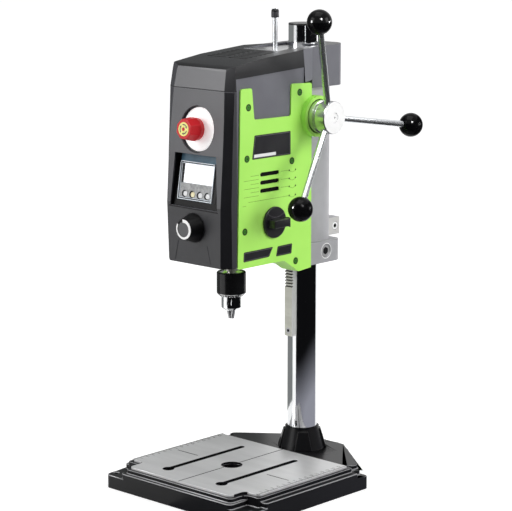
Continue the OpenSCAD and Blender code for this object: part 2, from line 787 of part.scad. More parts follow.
module column() color("#b9bcc0") difference() {
    up(socket_floor) cylinder(h = column_top - socket_floor, d = column_d);
    up(socket_floor - over) cylinder(h = column_top, r = column_r - column_wall);
    for (z = [rack_screw_low, rack_screw_high]) up(z) rotate([90, 0, 0])
        cylinder(h = column_d, d = rack_screw_d + 2 * run);
}
module column_cap() color("#1d1d1f") up(column_top) {
    cylinder(h = column_cap_t, r = column_r - run);
    up(-column_plug_h) cylinder(h = column_plug_h, r = column_r - column_wall - run);
}

// Rack on the front of the column, cut so that a tooth lies level with the pinion
module height_rack() color("#b8b4a8") {
    first = lift_z - rack_pitch * floor((lift_z - rack_teeth_low) / rack_pitch);
    count = floor((rack_screw_high - rack_head_d - first) / rack_pitch);
    teeth = [for (i = [0:count]) each [for (q = rack_tooth(first + i * rack_pitch)) [-rack_front - q[0], q[1]]]];
    below = rack_tooth(first - rack_pitch);
    above = rack_tooth(first + (count + 1) * rack_pitch);
    difference() {
        along_x(-rack_w / 2, rack_w / 2) polygon(concat(
            [[-column_r + column_wall, rack_low], [-rack_front, rack_low]],
            [for (k = [2, 3]) [-rack_front - below[k][0], below[k][1]]], teeth,
            [for (k = [0, 1]) [-rack_front - above[k][0], above[k][1]]],
            [[-rack_front, rack_high], [-column_r + column_wall, rack_high]]
        ));
        up(rack_low - over) cylinder(h = rack_high - rack_low + 2 * over, r = bore_r);
        for (z = [rack_screw_low, rack_screw_high]) translate([0, -rack_front - run, z])
            rotate([-90, 0, 0]) {
            cylinder(h = rack_front, d = rack_screw_d + 2 * run);
            cylinder(h = rack_head_h, d1 = rack_head_d, d2 = rack_screw_d + 2 * run);
        }
    }
}
module rack_screws() color("#4a4b4e") for (z = [rack_screw_low, rack_screw_high])
    translate([0, -rack_front, z])
    rotate([-90, 0, 0]) difference() {
        union() {
            cylinder(h = rack_front - column_r + column_wall, d = rack_screw_d);
            cylinder(h = rack_head_h, d1 = rack_head_d - 4 * run, d2 = rack_screw_d);
        }
        up(-over) cylinder(h = rack_head_h / 2 + over, d = rack_screw_d * 0.6, $fn = 6);
    }

module at_rods() both_sides() translate([rod_x, -rod_y, 0]) children();

// Cast head body: clamp block and lug, upper neck, and the two arms that hold the guide rods
module head_casting() color("#a5a8ab") difference() {
    union() {
        up(block_low) linear_extrude(block_high - block_low) polygon(rounded(
            both([[block_w / 2, -block_front], [block_w / 2, block_back]]), both_r([0, block_r])
        ));
        up(block_high - over) linear_extrude(casting_top - block_high + over) {
            translate([-neck_r, -neck_front]) square([neck_w, neck_front]);
            circle(r = neck_r);
        }
        block([-neck_r, -bottom_arm_front, block_high], [neck_r, -neck_front + over, arm_low_z]);
        block([-neck_r, -top_arm_front, arm_high_z], [neck_r, -neck_front + over, casting_top]);
        block([-lug_w / 2, column_r + land_h / 10, block_high], [lug_w / 2, lug_reach, block_high + lug_h]);
    }
    // Bore for the column, relieved between the lands, and the channel for the rack
    up(block_low - over) cylinder(h = casting_top, r = bore_r);
    up(block_low + land_h) cylinder(h = casting_top - block_low - 2 * land_h, r = column_r + relief);
    block([-rack_w / 2 - channel_side, -rack_front - channel_side, block_low - over],
        [rack_w / 2 + channel_side, 0, channel_high]);
    // Shoulders beside the machined top face
    both_sides() block([top_arm_w / 2, -top_arm_front - over, casting_top - shoulder_t],
        [neck_w, 0, casting_top + over]);
    // Slit and screw of the clamp lug
    block([-slit_w / 2, column_r - column_wall, block_high],
        [slit_w / 2, lug_reach + over, block_high + lug_h + slit_w]);
    x_rod(-lug_w, lug_w, clamp_y, clamp_z, clamp_d + 2 * run);
    x_rod(lug_w / 2 - clamp_head_h, lug_w, clamp_y, clamp_z, clamp_head_d + 2 * gap);
    // Lock screw
    x_rod(column_r - column_wall, block_w, 0, lock_z, lock_d + 2 * run);
    x_rod(block_w / 2 - (lock_ring_d - lock_d) / 2, block_w / 2 + run, 0, lock_z, lock_d, lock_ring_d);
    // Elevation pinion
    lift_rod(-block_w, rack_w / 2 + channel_side, lift_journal_d);
    lift_rod(0, lift_tail_x + gap, lift_tail_d + 2 * run);
    // Feed shaft, its bushes and the room for its pinion
    feed_rod(-neck_w, neck_w, feed_shaft_d + 5 * gap);
    both_sides() feed_rod(neck_r - feed_bush_h, neck_w, feed_bush_d);
    feed_rod(-feed_w / 2 - 2 * gap, feed_w / 2 + 2 * gap, 2 * (feed_r + rack_m + gap));
    // Guide rods and depth rod
    at_rods() up(block_high + over)
        cylinder(h = casting_top - block_high - shoulder_t - 2 * over, r = rod_d / 2 + run);
    translate([0, -depth_rod_y, arm_high_z - over])
        cylinder(h = top_arm_t + 2 * over, d = depth_rod_d + 2 * gap);
}
module guide_rods() color("#c4c6c9") at_rods() up(block_high + over)
    cylinder(h = casting_top - block_high - shoulder_t - 3 * over, d = rod_d);
module feed_bushes() color("#b08a4a") both_sides() difference() {
    feed_rod(neck_r - feed_bush_h, neck_r, feed_bush_d - 2 * run);
    feed_rod(0, neck_w, feed_shaft_d + 2 * run);
}

// Drum of the return spring on the left end of the feed shaft
module spring_drum() color("#5a5c60") difference() {
    union() {
        feed_rod(-drum_in, -neck_r, feed_bush_d);
        feed_rod(-drum_in - drum_h, -drum_in, drum_d);
    }
    feed_rod(-drum_in - drum_h - over, -drum_in - drum_wall, drum_d - 2 * drum_wall);
    feed_rod(-drum_in - drum_h, 0, feed_shaft_d + 2 * gap);
}
module return_spring() color("#3d4a6b") {
    low = feed_shaft_d / 2 + gap;
    high = drum_d / 2 - drum_wall - strip_t;
    steps = strip_turns * 16;
    along_x(-drum_in - drum_h + drum_wall, -drum_in - drum_wall) translate([-feed_y, feed_z])
        polygon(concat(
        [for (i = [0:steps]) (low + (high - low) * i / steps) * [cos(22.5 * i), sin(22.5 * i)]],
        [for (i = [steps:-1:0]) (low + strip_t + (high - low) * i / steps) * [cos(22.5 * i), sin(22.5 * i)]]
    ));
}

// Plan of the front shell at level k
function shell_plan(k) = let (
    w = head_half * shell_w_shares[k], f = head_front * shell_y_shares[k], e = head_front * edge_y_shares[k]
) both([
    [w, -f], [head_half, -e], [head_half, -side_recess], [panel_half - 1.5 * cover_t, -side_recess],
    [panel_half - 1.5 * cover_t, -e + cover_t / 2], [w - cover_t, -f + cover_t]
]);
module side_screw_places() both_sides() for (q = side_screws) translate([0, -q[0], q[1]])
    rotate([0, 90, 0]) children();
module on_stop() translate([0, -stop_y, stop_z]) rotate([-stop_tilt, 0, 0]) children();
module stop_rod(y0, y1, d) on_stop() translate([0, y0, 0]) rotate([-90, 0, 0]) cylinder(h = y1 - y0, d = d);
function window_trapezoid(m) = [
    [-display_w / 2 - notch_ledge - m, display_low - m], [display_w / 2 + notch_ledge + m, display_low - m],
    [display_w / 2 - over + m, display_high + m], [over - display_w / 2 - m, display_high + m]
];

// Dark front shell with side wings, openings for the controls and bosses for the cover screws
module front_shell() color("#55585e") difference() {
    union() {
        low = head_low + cover_t;
        loft([for (k = [0:4]) shell_plan(k)], [for (q = shell_z_shares) low + q * (seam_z - low)]);
        both_sides() {
            along_x(panel_half - cover_t, panel_half) polygon([
                [-panel_front, low], [-panel_back, low],
                    [-panel_back, panel_back_z], [-panel_front, panel_front_z]
            ]);
            for (q = side_screws) if (q[1] > low)
                x_rod(panel_half - cover_screw_len, panel_half - cover_t + over, -q[0], q[1],
                    cover_head_d);
        }
        // Cup that holds the stop button's plate
        intersection() {
            stop_rod(stop_plate_t, stop_recess + stop_plate_t + cover_t,
                stop_plate_d + 2 * stop_margin + 1.5 * cover_t);
            block([-head_w, -head_front, display_high + cover_t + gap], [head_w, 0, seam_z]);
        }
    }
    along_y(-base_front, -display_y + 2 * notch_ledge) polygon(window_trapezoid(0));
    stop_rod(-cover_t, stop_recess, stop_plate_d + 2 * stop_margin);
    stop_rod(0, stop_recess + stop_plate_t, stop_plate_d + gap);
    stop_rod(0, stop_plate_d, stop_plate_d - 2 * notch_ledge);
    translate([0, -base_front, knob_z]) rotate([-90, 0, 0])
        cylinder(h = base_front - throat, d = knob_face_d / 3 + gap);
    selector_rod(0, head_w, knob_face_d / 3 + gap);
    feed_rod(-head_w, head_w, ring_d + 2 * gap);
    side_screw_places() cylinder(h = head_w, d = cover_screw_d + 2 * run);
}

// Plan of the top cover at level k, moved inward by t
function top_plan(k, t) = let (
    w = head_half * top_w_shares[k], f = head_front * top_y_shares[k], e = head_front * top_edge_shares[k],
    h = head_half * top_half_shares[k] - 2 * t
) rounded(both([
    [w - t, -f + t], [h, -e + t / 2],
        [h, -panel_back], [rear_w / 2 - t, -slant_back], [rear_w / 2 - t, rear_reach - t]
]), both_r([0, 0, 0, 0, rear_r - t]));
module top_body(t) intersection() {
    loft([for (k = [0, 0, 1, 2]) top_plan(k, t)],
        [rear_low - 2 * over, seam_z, (seam_z + top_back_z) / 2, top_back_z + 2 * over]);
    along_x(-head_w, head_w) polygon(rounded([
        [-head_front * top_y_shares[0] + t, t > 0 ? rear_low - over : seam_z],
        [-head_front * (top_y_shares[0] + 2 * top_y_shares[1]) / 3 + t, top_front_z - 2 * cover_t - t],
        [-throat, top_back_z - 2 * notch_ledge + t / 4 - t],
            [-panel_back, top_back_z - cover_t - t], [rear_reach + over, top_back_z - t],
        [rear_reach + over, rear_low - (t > 0 ? over : 0)], [-slant_back, rear_low - (t > 0 ? over : 0)],
        [-slant_back, side_top - (t > 0 ? 2 * notch_ledge : 0)],
        [-panel_back, side_top - (t > 0 ? 2 * notch_ledge : 0)],
            [-panel_back, seam_z - (t > 0 ? 2 * notch_ledge : 0)]
    ], [0, top_round - t, 0, 0, 0, 0, 0, 0, 0, 0]));
}
module top_cover() color("#3b3d42") difference() {
    top_body(0);
    top_body(cover_t);
    // Raised lower edge along the sides
    both_sides() along_x(panel_half - cover_t, head_w) polygon([
        [-panel_front, rear_low - over], [-panel_back, rear_low - over], [-panel_back, panel_back_z],
        [-panel_front, panel_front_z]
    ]);
    // Opening round the depth rod and the column
    block([-top_open_w / 2, -top_arm_front - over, rear_low], [top_open_w / 2, 0, top_back_z + over]);
    up(rear_low) cylinder(h = top_back_z, r = column_r + cover_t);
    // Vents in front of the opening
    both_sides() for (i = [0:6]) block(
        [cover_t, -top_arm_front - notch_ledge * (2 * i + 3), seam_z + top_round],
        [top_open_w / 2 + notch_ledge, -top_arm_front - notch_ledge * (2 * i + 2.2), top_back_z + over]);
}

side_outline = [
    [-side_front_low, head_low], [-arch_back, head_low], [-tip_front, tip_low],
    [-side_back, tip_low + cover_t], [-side_back, seam_z], [-side_notch_back + cover_t / 2, side_top],
    [-side_notch_back, side_notch_low], [-side_notch_front, side_notch_low + cover_t / 2],
    [-side_notch_front - notch_ledge, side_top], [-side_front_high, side_top]
];
side_outline_r = [fillet_small, fillet_small, fillet_small, 0, fillet_small, fillet_small,
    fillet_small, fillet_small,
    fillet_small, fillet_small];

// Side cover seen from its own side: plate, rear wall, turned-in lower edge, vents and screw holes
module side_plate() difference() {
    union() {
        along_x(panel_half, head_half) polygon(rounded(side_outline, side_outline_r));
        block([neck_r, -side_back - cover_t, block_high + gap], [panel_half + run, -side_back, seam_z]);
        block([block_w / 2 + gap, -side_back - cover_t, tip_low + cover_t],
            [panel_half + run, -side_back, block_high + over]);
        along_x(panel_half - 1.25 * side_depth, panel_half + run) polygon([
            [-arch_back, head_low], [-tip_front, tip_low], [-block_front - gap, tip_low + cover_t * 0.7],
            [-block_front - gap, tip_low + 1.7 * cover_t],
                [-tip_front, tip_low + cover_t], [-arch_back, head_low + cover_t]
        ]);
        along_x(block_w / 2 + gap, panel_half + run) polygon([
            [-block_front - over, tip_low + cover_t * 0.7], [-side_back, tip_low + cover_t],
            [-side_back, tip_low + 2 * cover_t], [-block_front - over, tip_low + cover_t * 1.7]
        ]);
    }
    for (q = side_screws) {
        x_rod(panel_half - over, head_half + over, -q[0], q[1], cover_screw_d + gap);
        x_rod(head_half - cover_t * 0.6, head_half + over, -q[0], q[1], cover_head_d + gap);
    }
    for (k = [-1, 0, 1]) along_x(panel_half - over, head_half + over)
        translate([-vent_y, vent_z + k * vent_pitch]) {
        square([vent_w - vent_h, vent_h], center = true);
        for (s = [-1, 1]) translate([s * (vent_w - vent_h) / 2, 0]) circle(d = vent_h);
    }
}
module right_cover() color("#84d62b") difference() {
    union() {
        side_plate();
        feed_rod(neck_r + cover_t, head_half + ring_h, ring_d);
    }
    feed_rod(0, head_w, ring_bore);
    selector_rod(0, head_w, knob_face_d / 3 + gap);
}
module left_cover() color("#84d62b") mirror([1, 0, 0]) difference() {
    union() {
        side_plate();
        feed_rod(neck_r + cover_t, head_half + ring_h / 2, ring_d);
    }
    feed_rod(0, head_half, drum_d + 2 * gap);
    translate([gland_x, 0, knob_z]) rotate([90, 0, 0])
        cylinder(h = throat / 2, d = gland_d - 0.8 * cover_t + 2 * run);
}
module bottom_plate() color("#3b3d42") difference() {
    union() {
        up(head_low + cover_t) linear_extrude(bottom_t) polygon(let (
            w = head_half * shell_w_shares[0] - cover_t - gap,
                f = head_front * shell_y_shares[0] - cover_t - gap,
            e = head_front * edge_y_shares[0] - cover_t / 2 - gap, h = panel_half - 1.5 * cover_t - gap
        ) both([[w, -f], [h, -e], [h, -block_front]]));
        both_sides() translate([panel_half - cover_head_d, 0, 0]) block(
            [-cover_head_d / 2 - run, -side_screws[5][0] - cover_head_d / 2,
                side_screws[5][1] - cover_head_d / 2],
            [cover_head_d / 2 + run, -side_screws[5][0] + cover_head_d / 2,
                head_low + cover_t + run]);
    }
    on_spindle(head_low) cylinder(h = head_low, d = quill_d + 2 * notch_ledge);
    side_screw_places() cylinder(h = head_w, d = cover_screw_d + 2 * run);
}
module cover_screws() color("#2f3033") side_screw_places() difference() {
    union() {
        up(panel_half - cover_screw_len) cylinder(h = cover_screw_len + cover_t / 2, d = cover_screw_d);
        up(head_half - cover_t * 0.6) cylinder(h = cover_t * 0.6, d = cover_head_d);
    }
    up(head_half - cover_t / 2) cylinder(h = cover_t, d = cover_screw_d, $fn = 6);
}

// Frame of the display's tilted face: X across, Y inward, Z up the face
module on_display() translate([0, -display_y - plate_t, display_low]) rotate([-display_tilt, 0, 0])
    children();
display_h = display_high - display_low;
module display_slab(m, y0, y1) intersection() {
    on_display() translate([-display_w, y0, -display_w]) cube([2 * display_w, y1 - y0, 3 * display_w]);
    along_y(-base_front, -throat) polygon(window_trapezoid(m));
}
module display_housing() color("#2b2d31") difference() {
    intersection() {
        along_y(-base_front, -throat) polygon(window_trapezoid(cover_t));
        along_x(-display_w, display_w) polygon([
            [-display_y - notch_ledge, display_low - notch_ledge],
                [-display_y - run, display_high + notch_ledge],
            [-display_y + display_depth, display_high + notch_ledge],
                [-display_y + display_depth, display_low - notch_ledge]
        ]);
    }
    display_slab(0, -2 * display_w, 0);
    display_slab(-cover_t, frame_t, display_w);
    on_display() {
        block([-display_w / 2 + 1.5 * notch_ledge, -over, window_low_share * display_h],
            [display_w / 2 - 1.5 * notch_ledge, cover_t, window_high_share * display_h]);
        block([-display_w / 2 + 2 * notch_ledge, -over, window_low_share * display_h + cover_t],
            [display_w / 2 - 2 * notch_ledge, display_w / 2, window_high_share * display_h - cover_t]);
    }
    for (i = [0:3]) key_rod(i, -over, frame_t + over, key_d + 2 * gap);
}
module key_rod(i, y0, y1, d) on_display() translate([(i - 1.5) * key_pitch, y0, key_z_share * display_h])
    rotate([-90, 0, 0]) cylinder(h = y1 - y0, d = d);
module display_window() color("#e8efe6") on_display() block(
    [-display_w / 2 + 1.5 * notch_ledge + run, gap, window_low_share * display_h + run],
    [display_w / 2 - 1.5 * notch_ledge - run, cover_t, window_high_share * display_h - run]);
module display_board() color("#2c5a35")
    display_slab(-cover_t - run, frame_t + 2 * cover_t, frame_t + 3 * cover_t);
module key(i) {
    key_rod(i, -key_travel - gap, frame_t + cover_t, key_d);
    key_rod(i, frame_t + gap + key_travel, frame_t + cover_t + key_travel, key_d + cover_t);
}
module key_1() color("#b9bcc0") key(0);
module key_2() color("#d8b96a") key(1);
module key_3() color("#b9bcc0") key(2);
module key_4() color("#b9bcc0") key(3);

module stop_plate() color("#f2f2f0") difference() {
    stop_rod(stop_recess, stop_recess + stop_plate_t, stop_plate_d);
    stop_rod(0, 2 * stop_recess, stop_stem_d + 2 * gap);
}
module stop_contact_block() color("#303236") difference() {
    stop_rod(stop_recess + stop_plate_t, stop_plate_d / 2 + 3 * notch_ledge, stop_head_d);
    stop_rod(stop_recess, stop_plate_d / 2 + notch_ledge, stop_stem_d + 2 * run);
}
module stop_stem() color("#2a2b2e") {
    stop_rod(-stop_travel - stop_neck, stop_plate_d / 2 - over, stop_stem_d);
    stop_rod(-stop_travel - stop_head_h / 2, -stop_travel - over, stop_stem_d / 2);
}
// Octagonal head with a round skirt behind it
module stop_head() color("#d22a24") difference() {
    union() {
        on_stop() translate([0, -stop_travel - stop_neck - stop_head_h, 0]) rotate([-90, 22.5, 0])
            cylinder(h = stop_head_h, d1 = stop_face_d, d2 = stop_head_d, $fn = 8);
        stop_rod(-stop_travel - stop_neck - over, stop_recess - stop_travel - gap, stop_skirt_d);
    }
    stop_rod(-stop_travel - stop_head_h / 2 - gap, 0, stop_stem_d / 2 + 2 * run);
    stop_rod(-stop_travel - stop_neck, stop_recess, stop_stem_d + 2 * run);
}

// Speed knob with its shaft, and the potentiometer that it turns
module speed_knob() color("#232427") translate([0, -knob_y - gap, knob_z]) rotate([-90, 0, 0]) {
    up(-knob_h) cylinder(h = knob_h, d1 = knob_face_d, d2 = knob_d);
    up(-over) cylinder(h = knob_h, d = knob_face_d / 4);
}
module speed_dial_body() color("#54575c") translate([0, -knob_y + cover_t + 2.5 * gap, knob_z])
    rotate([-90, 0, 0]) difference() {
    cylinder(h = knob_h, d = knob_face_d * 0.8);
    up(-over) cylinder(h = knob_h + over, d = knob_face_d / 4 + 2 * run);
}
module selector_knob() color("#232427") {
    selector_rod(head_half + gap, head_half + gap + frame_t, selector_d);
    selector_rod(panel_half - knob_h / 2, head_half + over, knob_face_d / 4);
    along_x(head_half + frame_t, head_half + selector_reach)
        translate([-selector_y, selector_z]) polygon(rounded([
        [-selector_bar / 2, -selector_bar_w / 2], [selector_bar / 4, -selector_bar_w / 2],
        [selector_bar / 2, -selector_bar_w / 3], [selector_bar / 2, selector_bar_w / 3],
        [selector_bar / 4, selector_bar_w / 2], [-selector_bar / 2, selector_bar_w / 2]
    ], [notch_ledge, 0, fillet_small, fillet_small, 0, notch_ledge]));
}
module selector_switch() color("#303236") difference() {
    selector_rod(panel_half - cover_t - knob_h, panel_half - cover_t, stop_head_d - cover_t);
    selector_rod(panel_half - knob_h, head_half, knob_face_d / 4 + 2 * run);
}
module control_board() color("#2c5a35") block(
    [cover_t - panel_half + run, -throat - 5 * notch_ledge, block_high + notch_ledge],
    [cover_t - panel_half + run + cover_t, -throat + 10 * notch_ledge, display_low - notch_ledge]);
module cable_gland() color("#1f2023") translate([-gland_x, 0, knob_z]) rotate([90, 0, 0])
    difference() {
        union() {
            up(side_back - cover_head_d) cylinder(h = cover_head_d, d = gland_d);
            up(side_back - over) cylinder(h = cover_head_d, d = gland_d - 0.8 * cover_t);
        }
        up(side_back - 2 * cover_head_d) cylinder(h = throat / 4, d = 0.45 * gland_d);
    }

// Spindle carriage: back plate with rod bosses, spindle housing, web and motor plate
module carriage() color("#8f9396") difference() {
    union() {
        block([-carriage_w / 2, -carriage_front, carriage_low],
            [carriage_w / 2, -feed_rack_back, carriage_high]);
        at_rods() for (z = [carriage_low, carriage_high - boss_h]) up(z) cylinder(h = boss_h, d = boss_d);
        block([-bearing_d * 0.4, over - throat + quill_d / 3, carriage_low],
            [bearing_d * 0.4, -carriage_front + over, quill_high]);
        on_spindle(quill_low) cylinder(h = quill_high - quill_low, d = quill_d);
        block([-motor_plate_w / 2, -motor_y - motor_plate_w / 2, motor_plate_low],
            [motor_plate_w / 2, -carriage_front + over, motor_plate_low + motor_plate_t]);
    }
    at_rods() {
        up(carriage_low - over) cylinder(h = carriage_high, d = rod_d + 4 * gap);
        for (z = [carriage_low - over, carriage_high - boss_h]) up(z)
            cylinder(h = boss_h + over, d = rod_d + 2 * bush_wall + 2 * run);
    }
    on_spindle(quill_low - over) {
        cylinder(h = quill_high, d = quill_bore_d);
        cylinder(h = bearing_lip + bearing_w + over, d = bearing_d + 2 * run);
    }
    on_spindle(quill_high - bearing_w - bearing_lip) cylinder(h = quill_high, d = bearing_d + 2 * run);
    translate([0, -motor_y, motor_plate_low - over])
        cylinder(h = motor_plate_t + 2 * over, d = motor_boss_d + 2 * run);
}
module guide_bushes() color("#b08a4a") at_rods() for (z = [carriage_low, carriage_high - boss_h]) up(z)
    difference() {
        cylinder(h = boss_h, d = rod_d + 2 * bush_wall);
        up(-over) cylinder(h = boss_h + 2 * over, d = rod_d + 2 * run);
    }
// Ball bearing as its two races and the shields between them
module bearing(z) on_spindle(z) difference() {
    cylinder(h = bearing_w, d = bearing_d);
    up(-over) cylinder(h = bearing_w + 2 * over, d = spindle_d + 2 * run);
    for (q = [-over, bearing_w - gap]) up(q) difference() {
        cylinder(h = gap + over, d = bearing_d - 2 * bush_wall * 2);
        up(-over) cylinder(h = gap + 3 * over, d = spindle_d + 2 * bush_wall * 2);
    }
}
module lower_bearing() color("#c4c6c9") bearing(quill_low + bearing_lip);
module upper_bearing() color("#c4c6c9") bearing(quill_high - bearing_w - bearing_lip);
module motor() color("#4b4e54") translate([0, -motor_y, 0]) difference() {
    union() {
        up(motor_low) cylinder(h = motor_h, d = motor_d);
        up(motor_plate_low) cylinder(h = motor_plate_t + over, d = motor_boss_d);
    }
    up(motor_plate_low - over)
        cylinder(h = motor_plate_t + motor_seat + 2 * over, d = motor_shaft_d + 2 * run);
}
module motor_pinion() color("#a9895a") translate([0, -motor_y, 0]) {
    up(gear_low) rotate(-90 - 180 / pinion_teeth) linear_extrude(gear_w)
        gear(drive_m, pinion_teeth, add_share);
    up(gear_low - cover_t) cylinder(h = motor_low + motor_seat - gear_low + cover_t, d = motor_shaft_d);
}
module feed_rack() color("#a9acaf") {
    count = ceil((stroke + feed_r / 2) / rack_pitch);
    first = feed_z - 3 * rack_pitch;
    teeth = [for (i = [0:count + 3]) each [for (q = rack_tooth(first + i * rack_pitch)) [-feed_rack_tip + q[0], q[1]]]];
    below = rack_tooth(first - rack_pitch);
    above = rack_tooth(first + (count + 4) * rack_pitch);
    difference() {
        along_x(-feed_w / 2, feed_w / 2) polygon(concat(
            [[-feed_rack_back, feed_rack_low], [-feed_rack_tip, feed_rack_low]],
            [for (k = [2, 3]) [-feed_rack_tip + below[k][0], below[k][1]]], teeth,
            [for (k = [0, 1]) [-feed_rack_tip + above[k][0], above[k][1]]],
            [[-feed_rack_tip, feed_rack_high], [-feed_rack_back, feed_rack_high]]
        ));
        translate([0, -depth_rod_y, feed_rack_high - depth_rod_seat])
            cylinder(h = depth_rod_seat + over, d = depth_rod_d + 2 * run);
    }
}
module depth_rod() color("#c9cbcd") translate([0, -depth_rod_y, feed_rack_high - depth_rod_seat])
    cylinder(h = depth_rod_len + depth_rod_seat, d = depth_rod_d);
module depth_stop() color("#1f2023") translate([0, -depth_rod_y, depth_stop_low])
    linear_extrude(depth_stop_h) difference() {
    circle(d = depth_stop_d);
    circle(d = depth_rod_d + 2 * run);
    for (a = [0:30:330]) rotate(a) translate([depth_stop_d / 2, 0]) circle(r = run * 10, $fn = 4);
}

module spindle() color("#c4c6c9") on_spindle(0) rotate_extrude() polygon([
    [0, taper_low], [taper_low_d / 2, taper_low],
        [taper_high_d / 2, core_high], [taper_high_d / 2, spindle_step],
    [spindle_d / 2, spindle_step], [spindle_d / 2, gear_low], [gear_bore / 2, gear_low],
    [gear_bore / 2, spindle_high], [0, spindle_high]
]);
module spindle_gear() color("#a9895a") on_spindle(gear_low) linear_extrude(gear_w) difference() {
    rotate(90) gear(drive_m, gear_teeth, add_share);
    circle(d = gear_bore + 2 * run);
    for (a = [0:60:300]) rotate(a) translate([gear_teeth * drive_m / 3, 0]) circle(d = gear_bore / 2);
}
module jaw_frame(a) on_spindle(0) rotate(a) translate([jaw_root, 0, jaw_tip])
    rotate([0, jaw_slope, 0]) children();
module chuck_body() color("#b9bcc0") difference() {
    on_spindle(0) rotate_extrude() polygon([
        [0, nose_low], [nose_tip_d / 2, nose_low],
            [nose_d / 2, nose_low + notch_ledge], [nose_d / 2, core_low],
        [core_d / 2, core_low], [core_d / 2, core_high], [0, core_high]
    ]);
    on_spindle(0) rotate_extrude() polygon([
        [0, taper_low - over],
            [taper_low_d / 2 + run, taper_low - over], [taper_low_d / 2 + run, taper_low],
        [taper_high_d / 2 + run, core_high],
            [taper_high_d / 2 + run, core_high + over], [0, core_high + over]
    ]);
    on_spindle(nose_low - over) cylinder(h = jaw_len + over, d = 2 * jaw_d);
    for (a = [0:120:240]) jaw_frame(a) cylinder(h = 2 * jaw_len, d = jaw_d + 4 * run);
    for (a = [60:120:300]) on_spindle(key_hole_z) rotate(a) rotate([0, 90, 0]) up(nose_d / 3)
        cylinder(h = nose_d, d = key_hole_d);
}
module chuck_sleeve() color("#26272a") on_spindle(0) difference() {
    rotate_extrude() polygon([
        [nose_d / 2 + gap, sleeve_low], [nose_d / 2 + bevel_h / 2, sleeve_low], [sleeve_d / 2, core_low],
        [sleeve_d / 2, sleeve_high - bevel_h / 4],
        [sleeve_d / 2 - bevel_h / 4, sleeve_high],
            [core_d / 2 + run, sleeve_high], [core_d / 2 + run, core_low - gap],
        [nose_d / 2 + gap, core_low - gap]
    ]);
    for (i = [0:bevel_teeth - 1]) rotate(360 * i / bevel_teeth) block(
        [nose_d / 2 + bevel_h / 4, -bevel_h / 5, sleeve_low - over],
            [sleeve_d, bevel_h / 5, core_low - bevel_h / 4]);
}
module jaw(a) color("#8d9093") intersection() {
    jaw_frame(a) up(-jaw_len) cylinder(h = 2 * jaw_len, d = jaw_d);
    on_spindle(jaw_tip) rotate(a) linear_extrude(jaw_len) difference() {
        polygon([[jaw_gap, 0], [core_d, core_d * tan(60)], [core_d, -core_d * tan(60)]]);
        circle(d = drill_min);
    }
}
module chuck_jaw_1() jaw(0);
module chuck_jaw_2() jaw(120);
module chuck_jaw_3() jaw(240);

// Feed shaft with its pinion, cut so that a gap faces the feed rack's tooth
module feed_shaft() color("#a9acaf") difference() {
    union() {
        feed_rod(-feed_shaft_left, hub_out - bearing_lip * 2, feed_shaft_d);
        along_x(-feed_w / 2, feed_w / 2) translate([-feed_y, feed_z]) gear(rack_m, feed_teeth, add_share);
    }
    feed_rod(hub_groove - over, hub_out, plate_screw_d + 2 * run);
}
module lever_angles() for (k = [0:2]) translate([0, -feed_y, feed_z])
    rotate([lever_angle - 90 + 120 * k, 0, 0]) children();
lever_lean = atan((ball_x - lever_root_x) / (ball_reach - lever_root));
lever_len = (ball_reach - lever_root) / cos(lever_lean);
module lever_cut(m) lever_angles() translate([lever_root_x, 0, lever_root]) rotate([0, lever_lean, 0])
    cylinder(h = lever_len - ball_d / 8 + m, d = lever_d + 2 * m);
module feed_hub() color("#c4c6c9") difference() {
    translate([hub_in, -feed_y, feed_z]) rotate([0, 90, 0]) rotate_extrude() polygon(let (
        r = hub_d / 2, g = hub_groove - hub_in, l = hub_out - hub_in, c = run * 20
    ) [
        [feed_shaft_d / 2 + run, 0],
            [r - c, 0], [r, c], [r, g - hub_groove_w / 2], [r - hub_groove_depth, g - hub_groove_w / 4],
        [r - hub_groove_depth, g + hub_groove_w / 4], [r, g + hub_groove_w / 2], [r, l - c], [r - c, l],
        [feed_shaft_d / 2 + run, l]
    ]);
    lever_cut(run);
}
module hub_screw() color("#5a5c60") difference() {
    union() {
        feed_rod(hub_out - bearing_lip * 2, hub_out - over / 2, feed_shaft_d - 2 * run);
        feed_rod(hub_groove, hub_out - bearing_lip, plate_screw_d);
    }
    translate([hub_out - bearing_lip, -feed_y, feed_z]) rotate([0, 90, 0])
        cylinder(h = bearing_lip + over, d = plate_screw_d, $fn = 6);
}
module lever_rods() color("#c9cbcd") lever_cut(0);
module lever_balls() color("#141415") difference() {
    lever_angles() translate([ball_x, 0, ball_reach]) sphere(d = ball_d);
    lever_cut(run);
}

module elevation_pinion() color("#9a9da0") difference() {
    union() {
        lift_rod(over - block_w / 2, -rack_w / 2 - channel_side, lift_journal_d - 2 * run);
        along_x(-rack_w / 2 - over, rack_w / 2) translate([-lift_y, lift_z])
            gear(rack_m, lift_teeth, add_share);
        lift_rod(rack_w / 2 - over, lift_tail_x, lift_tail_d);
    }
    translate([-block_w / 2, -lift_y, lift_z]) rotate([0, 90, 0])
        cylinder(h = hex_depth, d = hex_lift, $fn = 6);
}
module lock_screw() color("#45474b") difference() {
    x_rod(column_r + lock_clear, column_r + lock_clear + lock_len, 0, lock_z, lock_d);
    translate([column_r + lock_clear + lock_len - hex_depth, 0, lock_z]) rotate([0, 90, 0])
        cylinder(h = hex_depth + over, d = lock_hex, $fn = 6);
}
module clamp_screw() color("#2f3033") difference() {
    union() {
        x_rod(-lug_w / 2, lug_w / 2 - clamp_head_h, clamp_y, clamp_z, clamp_d);
        x_rod(lug_w / 2 - clamp_head_h, lug_w / 2 - gap, clamp_y, clamp_z, clamp_head_d);
    }
    translate([lug_w / 2 - clamp_head_h / 2, clamp_y, clamp_z]) rotate([0, 90, 0])
        cylinder(h = clamp_head_h, d = clamp_hex, $fn = 6);
}

